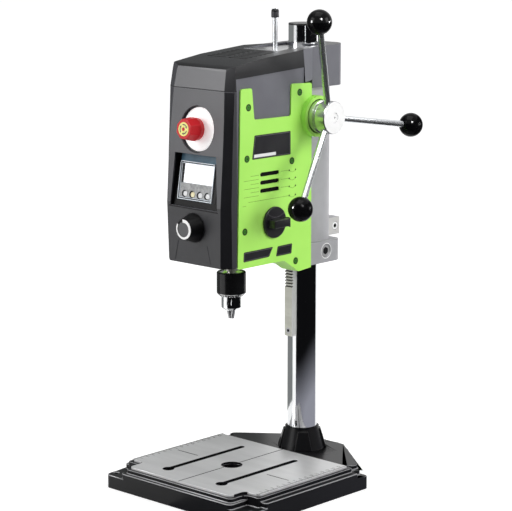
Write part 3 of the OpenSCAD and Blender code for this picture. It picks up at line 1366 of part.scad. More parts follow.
base_casting();
table_plate();
plate_screws();
column();
column_cap();
height_rack();
rack_screws();
head_casting();
guide_rods();
feed_bushes();
spring_drum();
return_spring();
front_shell();
top_cover();
right_cover();
left_cover();
bottom_plate();
cover_screws();
display_housing();
display_window();
display_board();
stop_plate();
stop_contact_block();
speed_dial_body();
selector_switch();
control_board();
cable_gland();
carriage();
guide_bushes();
lower_bearing();
upper_bearing();
motor();
feed_rack();
depth_rod();
depth_stop();
spindle();
spindle_gear();
chuck_body();
motor_pinion();
chuck_sleeve();
chuck_jaw_1();
chuck_jaw_2();
chuck_jaw_3();
feed_shaft();
feed_hub();
hub_screw();
lever_rods();
lever_balls();
elevation_pinion();
lock_screw();
clamp_screw();
stop_stem();
stop_head();
speed_knob();
selector_knob();
key_1();
key_2();
key_3();
key_4();
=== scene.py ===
# Mini bench drill press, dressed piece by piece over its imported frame.
import json
import math

import bmesh
import bpy
from mathutils import Matrix, Vector

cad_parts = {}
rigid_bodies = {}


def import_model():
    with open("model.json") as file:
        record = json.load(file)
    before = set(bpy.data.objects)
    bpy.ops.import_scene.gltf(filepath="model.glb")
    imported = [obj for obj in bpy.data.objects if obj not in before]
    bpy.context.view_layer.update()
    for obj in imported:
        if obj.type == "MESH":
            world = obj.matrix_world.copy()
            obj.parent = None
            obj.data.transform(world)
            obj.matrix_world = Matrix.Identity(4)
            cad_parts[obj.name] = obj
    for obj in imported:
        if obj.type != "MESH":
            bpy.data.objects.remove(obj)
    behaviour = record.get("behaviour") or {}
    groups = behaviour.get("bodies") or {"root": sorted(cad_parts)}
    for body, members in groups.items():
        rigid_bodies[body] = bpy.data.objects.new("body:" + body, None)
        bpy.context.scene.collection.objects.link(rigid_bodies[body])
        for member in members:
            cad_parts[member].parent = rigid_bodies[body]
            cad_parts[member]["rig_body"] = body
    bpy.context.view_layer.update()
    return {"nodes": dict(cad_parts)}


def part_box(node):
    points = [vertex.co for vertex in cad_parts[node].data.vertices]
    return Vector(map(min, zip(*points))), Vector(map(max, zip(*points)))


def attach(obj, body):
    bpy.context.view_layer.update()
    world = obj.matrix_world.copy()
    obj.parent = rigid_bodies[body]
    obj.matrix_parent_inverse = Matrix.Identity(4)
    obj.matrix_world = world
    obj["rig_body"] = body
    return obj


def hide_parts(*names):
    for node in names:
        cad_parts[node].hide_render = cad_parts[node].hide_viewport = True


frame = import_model()
node_of = frame["nodes"]

# Camera
# A long lens at bench height, to the right of the machine's front.
camera_data = bpy.data.cameras.new("camera")
camera_data.sensor_fit = "HORIZONTAL"
camera_data.sensor_width = 36
picture_width = 512
focal_pixels = 2016.45
camera_data.lens = focal_pixels / picture_width * camera_data.sensor_width
camera_data.clip_end = 50
camera = bpy.data.objects.new("camera", camera_data)
bpy.context.scene.collection.objects.link(camera)
azimuth = math.radians(43.17)
elevation = math.radians(10.82)
back = Vector((
    math.sin(azimuth) * math.cos(elevation),
    -math.cos(azimuth) * math.cos(elevation),
    math.sin(elevation),
))
right = Vector((math.cos(azimuth), math.sin(azimuth), 0))
upward = back.cross(right)
eye = Vector((1.66458, -1.86066, 0.75336))
camera.matrix_world = Matrix((
    (right.x, upward.x, back.x, eye.x),
    (right.y, upward.y, back.y, eye.y),
    (right.z, upward.z, back.z, eye.z),
    (0, 0, 0, 1),
))
bpy.context.scene.camera = camera

# Studio
# A white floor under a white sky, a large soft lamp on the left, one on the right behind and one overhead.
# Three small glint lamps show only as highlights.
bpy.context.scene.view_settings.view_transform = "Standard"
sky = bpy.data.worlds.new("sky")
bpy.context.scene.world = sky
sky.use_nodes = True


def shown_white(tree):
    path = tree.nodes.new("ShaderNodeLightPath")
    first = tree.nodes.new("ShaderNodeMath")
    first.operation = "MAXIMUM"
    tree.links.new(path.outputs["Is Camera Ray"], first.inputs[0])
    tree.links.new(path.outputs["Is Glossy Ray"], first.inputs[1])
    second = tree.nodes.new("ShaderNodeMath")
    second.operation = "MAXIMUM"
    tree.links.new(first.outputs[0], second.inputs[0])
    tree.links.new(path.outputs["Is Transmission Ray"], second.inputs[1])
    return second.outputs[0]


tree = sky.node_tree
tree.nodes.clear()
room = tree.nodes.new("ShaderNodeBackground")
room.inputs["Color"].default_value = (1, 1, 1, 1)
room.inputs["Strength"].default_value = 0.24
white = tree.nodes.new("ShaderNodeBackground")
white.inputs["Color"].default_value = (1, 1, 1, 1)
sky_mix = tree.nodes.new("ShaderNodeMixShader")
tree.links.new(shown_white(tree), sky_mix.inputs[0])
tree.links.new(room.outputs[0], sky_mix.inputs[1])
tree.links.new(white.outputs[0], sky_mix.inputs[2])
sky_out = tree.nodes.new("ShaderNodeOutputWorld")
tree.links.new(sky_mix.outputs[0], sky_out.inputs["Surface"])


def area_lamp(name, place, size, power, target):
    data = bpy.data.lights.new(name, "AREA")
    data.size = size
    data.energy = power
    lamp = bpy.data.objects.new(name, data)
    bpy.context.scene.collection.objects.link(lamp)
    lamp.location = place
    lamp.rotation_euler = (Vector(target) - Vector(place)).to_track_quat("-Z", "Y").to_euler()
    return lamp


glint_size = 0.35
for name, place, size, power in (
    ("left_lamp", (-1.0, -2.0, 1.3), 1.3, 27),
    ("right_lamp", (2.0, 0.9, 1.2), 1.3, 42),
    ("top_lamp", (0.1, -0.4, 2.4), 1.6, 22),
    ("left_glint", (-0.60, -1.25, 0.66), glint_size, 3.5),
    ("front_glint", (1.0, -0.6, 1.2), glint_size, 9),
    ("right_glint", (0.45, 1.15, 0.52), glint_size, 3),
):
    lamp = area_lamp(name, place, size, power, (0, -0.1, 0.3))
    lamp.visible_diffuse = size != glint_size

bpy.ops.object.select_all(action="DESELECT")
bpy.ops.mesh.primitive_plane_add(size=30, location=(0, 0, -0.0002))
floor = bpy.context.active_object
floor.name = "floor"
floor_paint = bpy.data.materials.new("floor_paint")
floor_paint.use_nodes = True
tree = floor_paint.node_tree
tree.nodes.clear()
matt = tree.nodes.new("ShaderNodeBsdfDiffuse")
matt.inputs["Color"].default_value = (0.72, 0.72, 0.72, 1)
glow = tree.nodes.new("ShaderNodeEmission")
lift = tree.nodes.new("ShaderNodeMath")
lift.operation = "MULTIPLY"
floor_place = tree.nodes.new("ShaderNodeTexCoord")
away = tree.nodes.new("ShaderNodeVectorMath")
away.operation = "LENGTH"
tree.links.new(floor_place.outputs["Object"], away.inputs[0])
level = tree.nodes.new("ShaderNodeMapRange")
level.inputs["From Min"].default_value = 0.3
level.inputs["From Max"].default_value = 2.2
level.inputs["To Min"].default_value = 0.52
level.inputs["To Max"].default_value = 0.86
tree.links.new(away.outputs["Value"], level.inputs["Value"])
tree.links.new(level.outputs[0], lift.inputs[1])
tree.links.new(shown_white(tree), lift.inputs[0])
tree.links.new(lift.outputs[0], glow.inputs["Strength"])
both = tree.nodes.new("ShaderNodeAddShader")
tree.links.new(matt.outputs[0], both.inputs[0])
tree.links.new(glow.outputs[0], both.inputs[1])
floor_out = tree.nodes.new("ShaderNodeOutputMaterial")
tree.links.new(both.outputs[0], floor_out.inputs["Surface"])
floor.data.materials.append(floor_paint)

# Cloth screens
# They stand round the bench, and only shiny faces pick them up.
# The front one is light at its foot and dark above.
dull_cloth = {}
for cloth, tint, near, far in (
    ("front_cloth", (0.86, 0.87, 1.0), 0.42, 0.006),
    ("back_cloth", (0.92, 0.96, 0.95), 0.28, 0.28),
):
    material = bpy.data.materials.new(cloth)
    material.use_nodes = True
    tree = material.node_tree
    tree.nodes.clear()
    dull = tree.nodes.new("ShaderNodeEmission")
    dull.inputs["Color"].default_value = (*tint, 1)
    place = tree.nodes.new("ShaderNodeTexCoord")
    parts = tree.nodes.new("ShaderNodeSeparateXYZ")
    tree.links.new(place.outputs["Object"], parts.inputs[0])
    lean = tree.nodes.new("ShaderNodeMath")
    lean.operation = "MULTIPLY_ADD"
    lean.inputs[1].default_value = -0.11
    tree.links.new(parts.outputs["Y"], lean.inputs[0])
    tree.links.new(parts.outputs["Z"], lean.inputs[2])
    fade = tree.nodes.new("ShaderNodeMapRange")
    fade.inputs["From Min"].default_value = 0.10
    fade.inputs["From Max"].default_value = 0.015
    tree.links.new(lean.outputs[0], fade.inputs["Value"])
    curve = tree.nodes.new("ShaderNodeMath")
    curve.operation = "POWER"
    curve.inputs[1].default_value = 1.4
    tree.links.new(fade.outputs[0], curve.inputs[0])
    strength = tree.nodes.new("ShaderNodeMapRange")
    strength.inputs["To Min"].default_value = far
    strength.inputs["To Max"].default_value = near
    tree.links.new(curve.outputs[0], strength.inputs["Value"])
    tree.links.new(strength.outputs[0], dull.inputs["Strength"])
    screen_out = tree.nodes.new("ShaderNodeOutputMaterial")
    tree.links.new(dull.outputs[0], screen_out.inputs["Surface"])
    dull_cloth[cloth] = material

screen_radius = 0.31
screen_middle = -0.06
for name, high, first, last, cloth in (
    ("front_screen", 0.57, -93, 74, "front_cloth"),
    ("back_screen", 0.95, 133, 225, "back_cloth"),
):
    bpy.ops.object.select_all(action="DESELECT")
    bpy.ops.mesh.primitive_cylinder_add(vertices=90, radius=screen_radius, depth=high, end_fill_type="TRIFAN",
                                        location=(0, screen_middle, high / 2 + 0.0004))
    screen = bpy.context.active_object
    screen.name = name
    bpy.ops.object.mode_set(mode="EDIT")
    bpy.ops.mesh.select_mode(type="FACE")
    bpy.ops.mesh.select_all(action="DESELECT")
    screen_mesh = bmesh.from_edit_mesh(screen.data)
    for face in screen_mesh.faces:
        middle = face.calc_center_median()
        turn = (math.degrees(math.atan2(middle.y, middle.x)) - first) % 360
        is_bottom = face.normal.z < -0.5
        is_top = face.normal.z > 0.5
        face.select_set(turn > last - first or is_top or (is_bottom and name == "back_screen"))
    bmesh.update_edit_mesh(screen.data)
    bpy.ops.mesh.delete(type="FACE")
    bpy.ops.mesh.select_mode(type="VERT")
    bpy.ops.object.mode_set(mode="OBJECT")
    bpy.ops.object.transform_apply(location=True, rotation=True, scale=True)
    screen.data.materials.append(dull_cloth[cloth])
    screen.visible_camera = False
    screen.visible_diffuse = False
    screen.visible_shadow = False
    screen.visible_transmission = False

# Materials
# Each one varies between two tones in soft clouds and has a fine relief that also breaks up its sheen.
def finish(name, dark, light, rough, metallic=0.0, grain=400.0, peel=0.1, depth=0.0002, stretch=(1, 1, 1),
           spread=0.06, blotch=25.0, specular=0.5):
    material = bpy.data.materials.new(name)
    material.use_nodes = True
    tree = material.node_tree
    shader = tree.nodes["Principled BSDF"]
    place = tree.nodes.new("ShaderNodeTexCoord")
    scaled = tree.nodes.new("ShaderNodeMapping")
    scaled.inputs["Scale"].default_value = stretch
    tree.links.new(place.outputs["Object"], scaled.inputs["Vector"])
    cloud = tree.nodes.new("ShaderNodeTexNoise")
    cloud.inputs["Scale"].default_value = blotch
    cloud.inputs["Detail"].default_value = 4
    tree.links.new(scaled.outputs[0], cloud.inputs["Vector"])
    tint = tree.nodes.new("ShaderNodeValToRGB")
    tint.color_ramp.elements[0].position = 0.35
    tint.color_ramp.elements[1].position = 0.65
    tint.color_ramp.elements[0].color = (*dark, 1)
    tint.color_ramp.elements[1].color = (*light, 1)
    tree.links.new(cloud.outputs["Fac"], tint.inputs[0])
    tree.links.new(tint.outputs[0], shader.inputs["Base Color"])
    fine = tree.nodes.new("ShaderNodeTexNoise")
    fine.inputs["Scale"].default_value = grain
    fine.inputs["Detail"].default_value = 3
    tree.links.new(scaled.outputs[0], fine.inputs["Vector"])
    sheen = tree.nodes.new("ShaderNodeMapRange")
    sheen.inputs["To Min"].default_value = max(0.02, rough - spread)
    sheen.inputs["To Max"].default_value = rough + spread
    tree.links.new(fine.outputs["Fac"], sheen.inputs["Value"])
    tree.links.new(sheen.outputs[0], shader.inputs["Roughness"])
    relief = tree.nodes.new("ShaderNodeBump")
    relief.inputs["Strength"].default_value = peel
    relief.inputs["Distance"].default_value = depth
    tree.links.new(fine.outputs["Fac"], relief.inputs["Height"])
    tree.links.new(relief.outputs[0], shader.inputs["Normal"])
    shader.inputs["Metallic"].default_value = metallic
    shader.inputs["Specular IOR Level"].default_value = specular
    return material


def glowing(material, color, strength):
    shader = material.node_tree.nodes["Principled BSDF"]
    shader.inputs["Emission Color"].default_value = (*color, 1)
    shader.inputs["Emission Strength"].default_value = strength


# Working on pieces
# A dressed piece is a welded copy of a node with rounded edges, which takes the node's place.
def pick(piece):
    bpy.ops.object.select_all(action="DESELECT")
    piece.select_set(True)
    bpy.context.view_layer.objects.active = piece


def coat_node(node, material):
    for part_slot in node_of[node].material_slots:
        part_slot.material = material


def copy_of(node, name):
    piece = node_of[node].copy()
    piece.data = node_of[node].data.copy()
    bpy.context.scene.collection.objects.link(piece)
    piece.parent = None
    piece.hide_viewport = False
    piece.hide_render = False
    piece.hide_set(False)
    for key in list(piece.keys()):
        if key.startswith("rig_"):
            del piece[key]
    piece.name = name
    piece.data.materials.clear()
    pick(piece)
    bpy.ops.object.mode_set(mode="EDIT")
    bpy.ops.mesh.select_all(action="SELECT")
    bpy.ops.mesh.remove_doubles(threshold=0.00001)
    bpy.ops.mesh.dissolve_limited(angle_limit=math.radians(0.08))
    bpy.ops.object.mode_set(mode="OBJECT")
    bpy.ops.mesh.customdata_custom_splitnormals_clear()
    return piece


def soften(piece, width, segments=2, angle=28.0, wanted=None):
    pick(piece)
    bpy.ops.object.shade_smooth_by_angle(angle=math.radians(angle + 4))
    bpy.ops.object.mode_set(mode="EDIT")
    flats = bmesh.from_edit_mesh(piece.data)
    large = 0.00012
    for line in flats.edges:
        if len(line.link_faces) == 2 and line.calc_face_angle() > 0.004:
            if all(face.calc_area() > large and abs(face.normal.x) < 0.3 for face in line.link_faces):
                line.smooth = False
    if wanted:
        weight = flats.edges.layers.float.new("bevel_weight_edge")
        for line in flats.edges:
            if len(line.link_faces) == 2 and line.calc_face_angle() > math.radians(angle):
                line[weight] = float(wanted((line.verts[0].co + line.verts[1].co) / 2))
    bmesh.update_edit_mesh(piece.data)
    bpy.ops.object.mode_set(mode="OBJECT")
    edge = piece.modifiers.new("edges", "BEVEL")
    edge.width = width
    edge.segments = segments
    edge.limit_method = "WEIGHT" if wanted else "ANGLE"
    edge.angle_limit = math.radians(angle)
    edge.use_clamp_overlap = wanted is None
    edge.harden_normals = True
    bpy.ops.object.modifier_apply(modifier=edge.name)


def seat(piece, node, material):
    piece.data.materials.clear()
    piece.data.materials.append(material)
    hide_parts(node)
    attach(piece, node_of[node]["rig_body"])


def keep_inside(piece, node):
    low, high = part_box(node)
    for vertex in piece.data.vertices:
        for axis in range(3):
            vertex.co[axis] = min(max(vertex.co[axis], low[axis]), high[axis])


# Base casting
# One iron casting with a rimmed platform, corner pads and a faceted collar, sprayed semi-gloss black.
# The paint shows a fine orange peel; the platform's narrow edges in front of the column carry a painted
# highlight in light grey.
black_paint = finish("black_paint", (0.004, 0.004, 0.0046), (0.007, 0.007, 0.0082), 0.3, grain=900, peel=0.1,
                     blotch=12, specular=0.15)
rounded_from = 0.0160
highlight_below = 0.0280
base = copy_of("base_casting", "cast_base")
soften(base, 0.0009, 2, 28.0, lambda at: at.z > rounded_from)
keep_inside(base, "base_casting")
seat(base, "base_casting", black_paint)
edge_highlight = finish("edge_highlight", (0.30, 0.30, 0.31), (0.40, 0.40, 0.41), 0.3, metallic=0.4, grain=900)
base.data.materials.append(edge_highlight)
# Painted highlight: narrow sloping edge faces low on the front half take the light grey.
for face in base.data.polygons:
    is_narrow = 0.3 < face.normal.z < 0.95 and face.area < 0.0003
    if is_narrow and face.center.z < highlight_below and face.center.y < 0:
        face.material_index = 1

# Table plate
# Ground steel, with the grain of the grinding wheel running across it.
# Its edges carry a painted highlight, and the walls of its slots are painted black as painted shade.
ground_steel = finish("ground_steel", (0.60, 0.60, 0.605), (0.67, 0.67, 0.675), 0.42, metallic=0.45,
                      grain=260, peel=0.25, depth=0.0001, stretch=(1, 6, 6), blotch=8)
plate_rounded_from = 0.0308
slots_reach, slots_front, slots_rear = 0.0915, -0.2145, -0.045
plate = copy_of("table_plate", "ground_plate")
soften(plate, 0.0004, 2, 28.0, lambda at: at.z > plate_rounded_from)
keep_inside(plate, "table_plate")
seat(plate, "table_plate", ground_steel)
plate_edge_highlight = finish("plate_edge_highlight", (0.80, 0.80, 0.81), (0.88, 0.88, 0.89), 0.3, metallic=0.4, grain=600)
plate.data.materials.append(plate_edge_highlight)
plate.data.materials.append(black_paint)
# Painted shade on the slot walls, painted highlight on the narrow sloping edges.
for face in plate.data.polygons:
    inside = abs(face.center.x) < slots_reach and slots_front < face.center.y < slots_rear
    if inside and face.normal.z < 0.97:
        face.material_index = 2
    elif 0.25 < face.normal.z < 0.97 and face.area < 0.0003:
        face.material_index = 1


# Table scale
# A mark every two millimetres, longer and numbered at each centimetre, etched dark along both side edges.
# Wider cross lines run from all four sides towards the hole in the middle.
def bar(name, low, high):
    bpy.ops.object.select_all(action="DESELECT")
    bpy.ops.mesh.primitive_cube_add(size=1, location=[(a + b) / 2 for a, b in zip(low, high)])
    piece = bpy.context.active_object
    piece.name = name
    piece.scale = [b - a for a, b in zip(low, high)]
    bpy.ops.object.transform_apply(location=True, rotation=True, scale=True)
    return piece


def repeat(piece, count, step):
    pick(piece)
    row = piece.modifiers.new("row", "ARRAY")
    row.use_relative_offset = False
    row.use_constant_offset = True
    row.constant_offset_displace = step
    row.count = count
    bpy.ops.object.modifier_apply(modifier=row.name)


def join(pieces, name):
    bpy.ops.object.select_all(action="DESELECT")
    for piece in pieces:
        piece.select_set(True)
    bpy.context.view_layer.objects.active = pieces[0]
    bpy.ops.object.join()
    pieces[0].name = name
    return pieces[0]


etch = finish("etched_marks", (0.008, 0.008, 0.009), (0.014, 0.014, 0.015), 0.5, grain=900, specular=0.1)
plate_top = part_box("table_plate")[1][2]
etch_low, etch_high = plate_top - 0.0003, plate_top + 0.00003
scale_edge = 0.1078
scale_front = -0.1967
mark_width = 0.0008
for side in (-1, 1):
    marks = []
    for long, step, count in ((0.0028, 0.002, 80), (0.0046, 0.01, 17)):
        ends = sorted((side * scale_edge, side * (scale_edge - long)))
        mark = bar("mark", (ends[0], scale_front, etch_low), (ends[1], scale_front + mark_width, etch_high))
        repeat(mark, count, (0, step, 0))
        marks.append(mark)
    for count in range(1, 16):
        bpy.ops.object.select_all(action="DESELECT")
        bpy.ops.object.text_add()
        figure = bpy.context.active_object
        figure.data.body = str(count)
        figure.data.size = 0.0052
        figure.data.align_x = "CENTER"
        figure.data.extrude = 0.0001
        bpy.ops.object.convert(target="MESH")
        figure.location = (side * 0.1028, -0.1964 + 0.01 * count, plate_top - 0.00007)
        figure.rotation_euler = (0, 0, side * math.pi / 2)
        bpy.ops.object.transform_apply(location=True, rotation=True, scale=True)
        marks.append(figure)
    middle = side * 0.0795
    marks.append(bar("line", (middle - 0.0155, -0.1307, etch_low), (middle + 0.0155, -0.1293, etch_high)))
    ends = (-0.116, -0.0367) if side > 0 else (-0.2222, -0.144)
    marks.append(bar("line", (-0.0007, ends[0], etch_low), (0.0007, ends[1], etch_high)))
    scale = join(marks, "table_scale_right" if side > 0 else "table_scale_left")
    scale.data.materials.clear()
    scale.data.materials.append(etch)
    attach(scale, node_of["table_plate"]["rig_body"])

# Column
# Chromed steel tube, closed at the top with a black plastic cap.
def dress(node, name, width, segments, material, angle=28.0):
    piece = copy_of(node, name)
    soften(piece, width, segments, angle)
    seat(piece, node, material)
    return piece


chrome = finish("chrome_plate", (0.70, 0.71, 0.725), (0.73, 0.74, 0.75), 0.06, metallic=1.0, grain=600,
                peel=0.015, spread=0.02)
dress("column", "chromed_column", 0.0004, 2, chrome)
black_plastic = finish("black_plastic", (0.010, 0.010, 0.011), (0.015, 0.015, 0.016), 0.38, grain=1200,
                       peel=0.2, specular=0.35)
dress("column_cap", "column_plug", 0.0006, 3, black_plastic)

# Height rack
# Milled steel bar screwed to the column, bright on its sides, with painted shade darkening it between the cut
# teeth.
milled_steel = finish("milled_steel", (0.52, 0.52, 0.46), (0.62, 0.62, 0.55), 0.34, metallic=0.6, grain=500,
                      peel=0.15, stretch=(1, 1, 4))
toothed = dress("height_rack", "toothed_rack", 0.00015, 1, milled_steel)
rack_side = finish("rack_side", (0.78, 0.79, 0.77), (0.86, 0.87, 0.85), 0.3, metallic=0.5, grain=500)
rack_gap_shade = finish("rack_gap_shade", (0.015, 0.015, 0.014), (0.03, 0.03, 0.028), 0.5, grain=500, specular=0.2)
for steel in (rack_side, rack_gap_shade):
    toothed.data.materials.append(steel)
# Painted shade: the small tooth faces between the teeth are nearly black.
for face in toothed.data.polygons:
    if abs(face.normal.x) > 0.9:
        face.material_index = 1
    elif abs(face.normal.z) > 0.25 and face.area < 0.0001:
        face.material_index = 2
dark_steel = finish("dark_steel", (0.05, 0.05, 0.053), (0.075, 0.075, 0.08), 0.34, metallic=0.8, grain=900,
                    peel=0.1)
for node in ("plate_screws", "spring_drum"):
    coat_node(node, dark_steel)

# Head casting
# Sand-cast aluminium, blasted on the outside and machined on top and on the outer face of the clamp lug.
cast_metal = finish("cast_metal", (0.36, 0.36, 0.375), (0.42, 0.42, 0.438), 0.5, metallic=0.35, grain=700,
                    peel=0.4, depth=0.0003)
machined = finish("machined_face", (0.20, 0.20, 0.205), (0.28, 0.28, 0.285), 0.24, metallic=0.9, grain=500,
                  peel=0.1, stretch=(6, 1, 1))
lug_face = finish("lug_face", (0.60, 0.595, 0.58), (0.68, 0.675, 0.66), 0.4, metallic=0.3, grain=500,
                  peel=0.1)
casting_top = 0.5395
lug_front, lug_right, lug_bottom, lug_top = 0.035, 0.02, 0.298, 0.330
body = dress("head_casting", "cast_head", 0.0009, 2, cast_metal)
for metal in (machined, lug_face):
    body.data.materials.append(metal)
for face in body.data.polygons:
    at = face.center
    if face.normal.z > 0.9 and at.z > casting_top:
        face.material_index = 1
    if face.normal.x > 0.9 and at.x < lug_right and at.y > lug_front and lug_bottom < at.z < lug_top:
        face.material_index = 2
coat_node("carriage", cast_metal)

# Front shell and top cover
# Moulded grey plastic with a fine spark-eroded texture, with painted shade below the display and on the top
# cover.
# Painted light makes the walls beside the side covers and the display's sill paler, and painted shade makes
# the right chamfers nearly black.
grey_plastic = finish("grey_plastic", (0.019, 0.019, 0.025), (0.023, 0.023, 0.030), 0.42, grain=1500,
                      peel=0.12, specular=0.68)
lower_shade_plastic = finish("lower_shade_plastic", (0.015, 0.015, 0.018), (0.019, 0.019, 0.0225), 0.42, grain=1500,
                      peel=0.12, specular=0.46)
chamfer_shade_plastic = finish("chamfer_shade_plastic", (0.006, 0.006, 0.008), (0.009, 0.009, 0.012), 0.42, grain=1500,
                       peel=0.12, specular=0.3)
pale_lit_plastic = finish("pale_lit_plastic", (0.112, 0.113, 0.132), (0.128, 0.129, 0.150), 0.45, grain=1500,
                       peel=0.15, specular=0.4)
dark_plastic = finish("dark_plastic", (0.009, 0.009, 0.010), (0.013, 0.013, 0.0145), 0.38, grain=1500,
                      peel=0.15, specular=0.3)
side_shade_plastic = finish("side_shade_plastic", (0.014, 0.014, 0.0155), (0.018, 0.018, 0.020), 0.42, grain=1500,
                      peel=0.15, specular=0.2)
display_foot = 0.364
side_wall = 0.051
shell = dress("front_shell", "moulded_shell", 0.0007, 2, grey_plastic, 16.0)
for plastic in (pale_lit_plastic, lower_shade_plastic, chamfer_shade_plastic):
    shell.data.materials.append(plastic)
# Painted shade below the display and on the right chamfers, painted light on the side walls and the sill.
for face in shell.data.polygons:
    at = face.center
    if at.z < display_foot:
        face.material_index = 2
    if 0.25 < face.normal.x < 0.95 and face.normal.y < -0.2:
        face.material_index = 3
    if abs(face.normal.x) > 0.9 and abs(abs(at.x) - side_wall) < 0.0004:
        face.material_index = 1
    if face.normal.z > 0.9 and abs(at.x) < 0.04 and at.y < -0.185 and at.z < 0.37:
        face.material_index = 1


def round_edges(piece, width, segments, wanted):
    pick(piece)
    bpy.ops.object.mode_set(mode="EDIT")
    bpy.ops.mesh.select_mode(type="EDGE")
    bpy.ops.mesh.select_all(action="DESELECT")
    mesh = bmesh.from_edit_mesh(piece.data)
    for edge in mesh.edges:
        if len(edge.link_faces) == 2 and edge.calc_face_angle() > math.radians(20):
            edge.select_set(wanted((edge.verts[0].co + edge.verts[1].co) / 2))
    bmesh.update_edit_mesh(piece.data)
    bpy.ops.mesh.bevel(offset=width, segments=segments, affect="EDGES", clamp_overlap=True)
    bpy.ops.mesh.select_mode(type="VERT")
    bpy.ops.object.mode_set(mode="OBJECT")


lid = copy_of("top_cover", "moulded_top")
lid_shoulder, lid_rear, lid_front, lid_side = 0.522, -0.06, -0.1755, 0.0488
round_edges(lid, 0.0042, 5, lambda at: at.z > lid_shoulder and at.y < lid_rear
            and (at.y < lid_front or abs(at.x) > lid_side))
soften(lid, 0.0008, 2, 18.0)
seat(lid, "top_cover", dark_plastic)
for plastic in (grey_plastic, side_shade_plastic, pale_lit_plastic, chamfer_shade_plastic):
    lid.data.materials.append(plastic)
# Painted light and shade by the way each face turns: a darker top, darker front sides, near-black chamfers
# and paler rear walls; the front keeps the shell's grey.
rear_walls = -0.0559
for face in lid.data.polygons:
    way = face.normal
    if 0.25 < way.x < 0.95 and way.y < -0.2 and abs(way.z) < 0.5:
        face.material_index = 4
    elif abs(way.z) < 0.35 and way.x < 0.1 and way.y < -0.2 and face.center.y < -0.15:
        face.material_index = 1
    elif abs(way.x) > 0.9 and face.center.y < rear_walls:
        face.material_index = 2
    elif abs(way.z) < 0.5 and face.center.y > rear_walls:
        face.material_index = 3
coat_node("bottom_plate", dark_plastic)

# Parting line and creases
# The top and the shell meet in a shallow dark groove, with a painted highlight on the moulded lip under it.
# Two shallow mould lines run down from the speed knob to the lower edge of the shell.
groove_end = -0.1756


def slice_of(node, name, low, high, out):
    piece = copy_of(node, name)
    bpy.ops.object.mode_set(mode="EDIT")
    for level, below in ((low, True), (high, False)):
        bpy.ops.mesh.select_all(action="SELECT")
        bpy.ops.mesh.bisect(plane_co=(0, 0, level), plane_no=(0, 0, 1), use_fill=True, clear_inner=below,
                            clear_outer=not below)
    bpy.ops.mesh.select_all(action="SELECT")
    bpy.ops.mesh.bisect(plane_co=(0, groove_end, 0), plane_no=(0, 1, 0), use_fill=True, clear_outer=True)
    bpy.ops.mesh.select_all(action="SELECT")
    bpy.ops.mesh.normals_make_consistent(inside=False)
    bpy.ops.transform.shrink_fatten(value=out)
    bpy.ops.object.mode_set(mode="OBJECT")
    return piece


def face_of(name, points, place, high, corner=0.0):
    bpy.ops.object.select_all(action="DESELECT")
    bpy.ops.mesh.primitive_circle_add(vertices=len(points), radius=1, fill_type="NGON")
    piece = bpy.context.active_object
    piece.name = name
    for vertex, point in zip(piece.data.vertices, points):
        vertex.co = (point[0], point[1], 0)
    bpy.ops.object.mode_set(mode="EDIT")
    bpy.ops.mesh.select_all(action="SELECT")
    if corner:
        bpy.ops.mesh.bevel(affect="VERTICES", offset=corner, segments=4)
        bpy.ops.mesh.select_all(action="SELECT")
    bpy.ops.mesh.extrude_region_move(TRANSFORM_OT_translate={"value": (0, 0, high)})
    bpy.ops.mesh.select_all(action="SELECT")
    bpy.ops.mesh.normals_make_consistent(inside=False)
    bpy.ops.object.mode_set(mode="OBJECT")
    piece.matrix_world = place
    bpy.ops.object.transform_apply(location=True, rotation=True, scale=True)
    return piece


def mount(piece, body, material):
    piece.data.materials.clear()
    piece.data.materials.append(material)
    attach(piece, body)


lip_highlight_grey = finish("lip_highlight_grey", (0.07, 0.07, 0.08), (0.09, 0.09, 0.10), 0.4, grain=1500, peel=0.1)
seam_dark = finish("seam_dark", (0.016, 0.016, 0.018), (0.022, 0.022, 0.025), 0.5, grain=1500, peel=0.1,
                   specular=0.2)
crease_high = 0.00012
front_tilt = math.radians(1.45)
front_face = Matrix.Translation((0, -0.19256, 0.293)) @ Matrix.Rotation(math.radians(90) + front_tilt, 4, "X")
creases = [face_of(name, points, front_face, crease_high) for name, points in (
    ("left_crease", ((-0.0338, 0.0015), (-0.0324, 0.0015), (-0.0262, 0.0255), (-0.0276, 0.0255))),
    ("right_crease", ((0.0262, 0.002), (0.0268, 0.002), (0.0213, 0.0245), (0.0207, 0.0245))),
)]
mount(join(creases, "shell_creases"), "head", seam_dark)
mount(slice_of("front_shell", "parting_groove", 0.5006, 0.5014, crease_high), "head", seam_dark)
# Painted highlight: the lip is a lighter grey than the shell.
mount(slice_of("front_shell", "parting_lip", 0.4998, 0.5003, 0.00010), "head", lip_highlight_grey)

# Side covers
# Moulded lime-green plastic, screwed on with screws in round recesses, which are darkened with painted shade.
green_plastic = finish("green_plastic", (0.37, 0.78, 0.105), (0.42, 0.84, 0.13), 0.4, grain=1200, peel=0.15,
                       blotch=9, specular=0.4)
for node, name in (("right_cover", "right_side_cover"), ("left_cover", "left_side_cover")):
    dress(node, name, 0.0004, 2, green_plastic)
rim_shade_green = finish("rim_shade_green", (0.006, 0.035, 0.004), (0.012, 0.055, 0.007), 0.4, grain=1200, specular=0.3)
recess_shade_green = finish("recess_shade_green", (0.035, 0.17, 0.014), (0.055, 0.24, 0.022), 0.4, grain=1200,
                      specular=0.3)
# The screws take the darker green of the recess's painted shade.
coat_node("cover_screws", recess_shade_green)
cover_face = 0.053


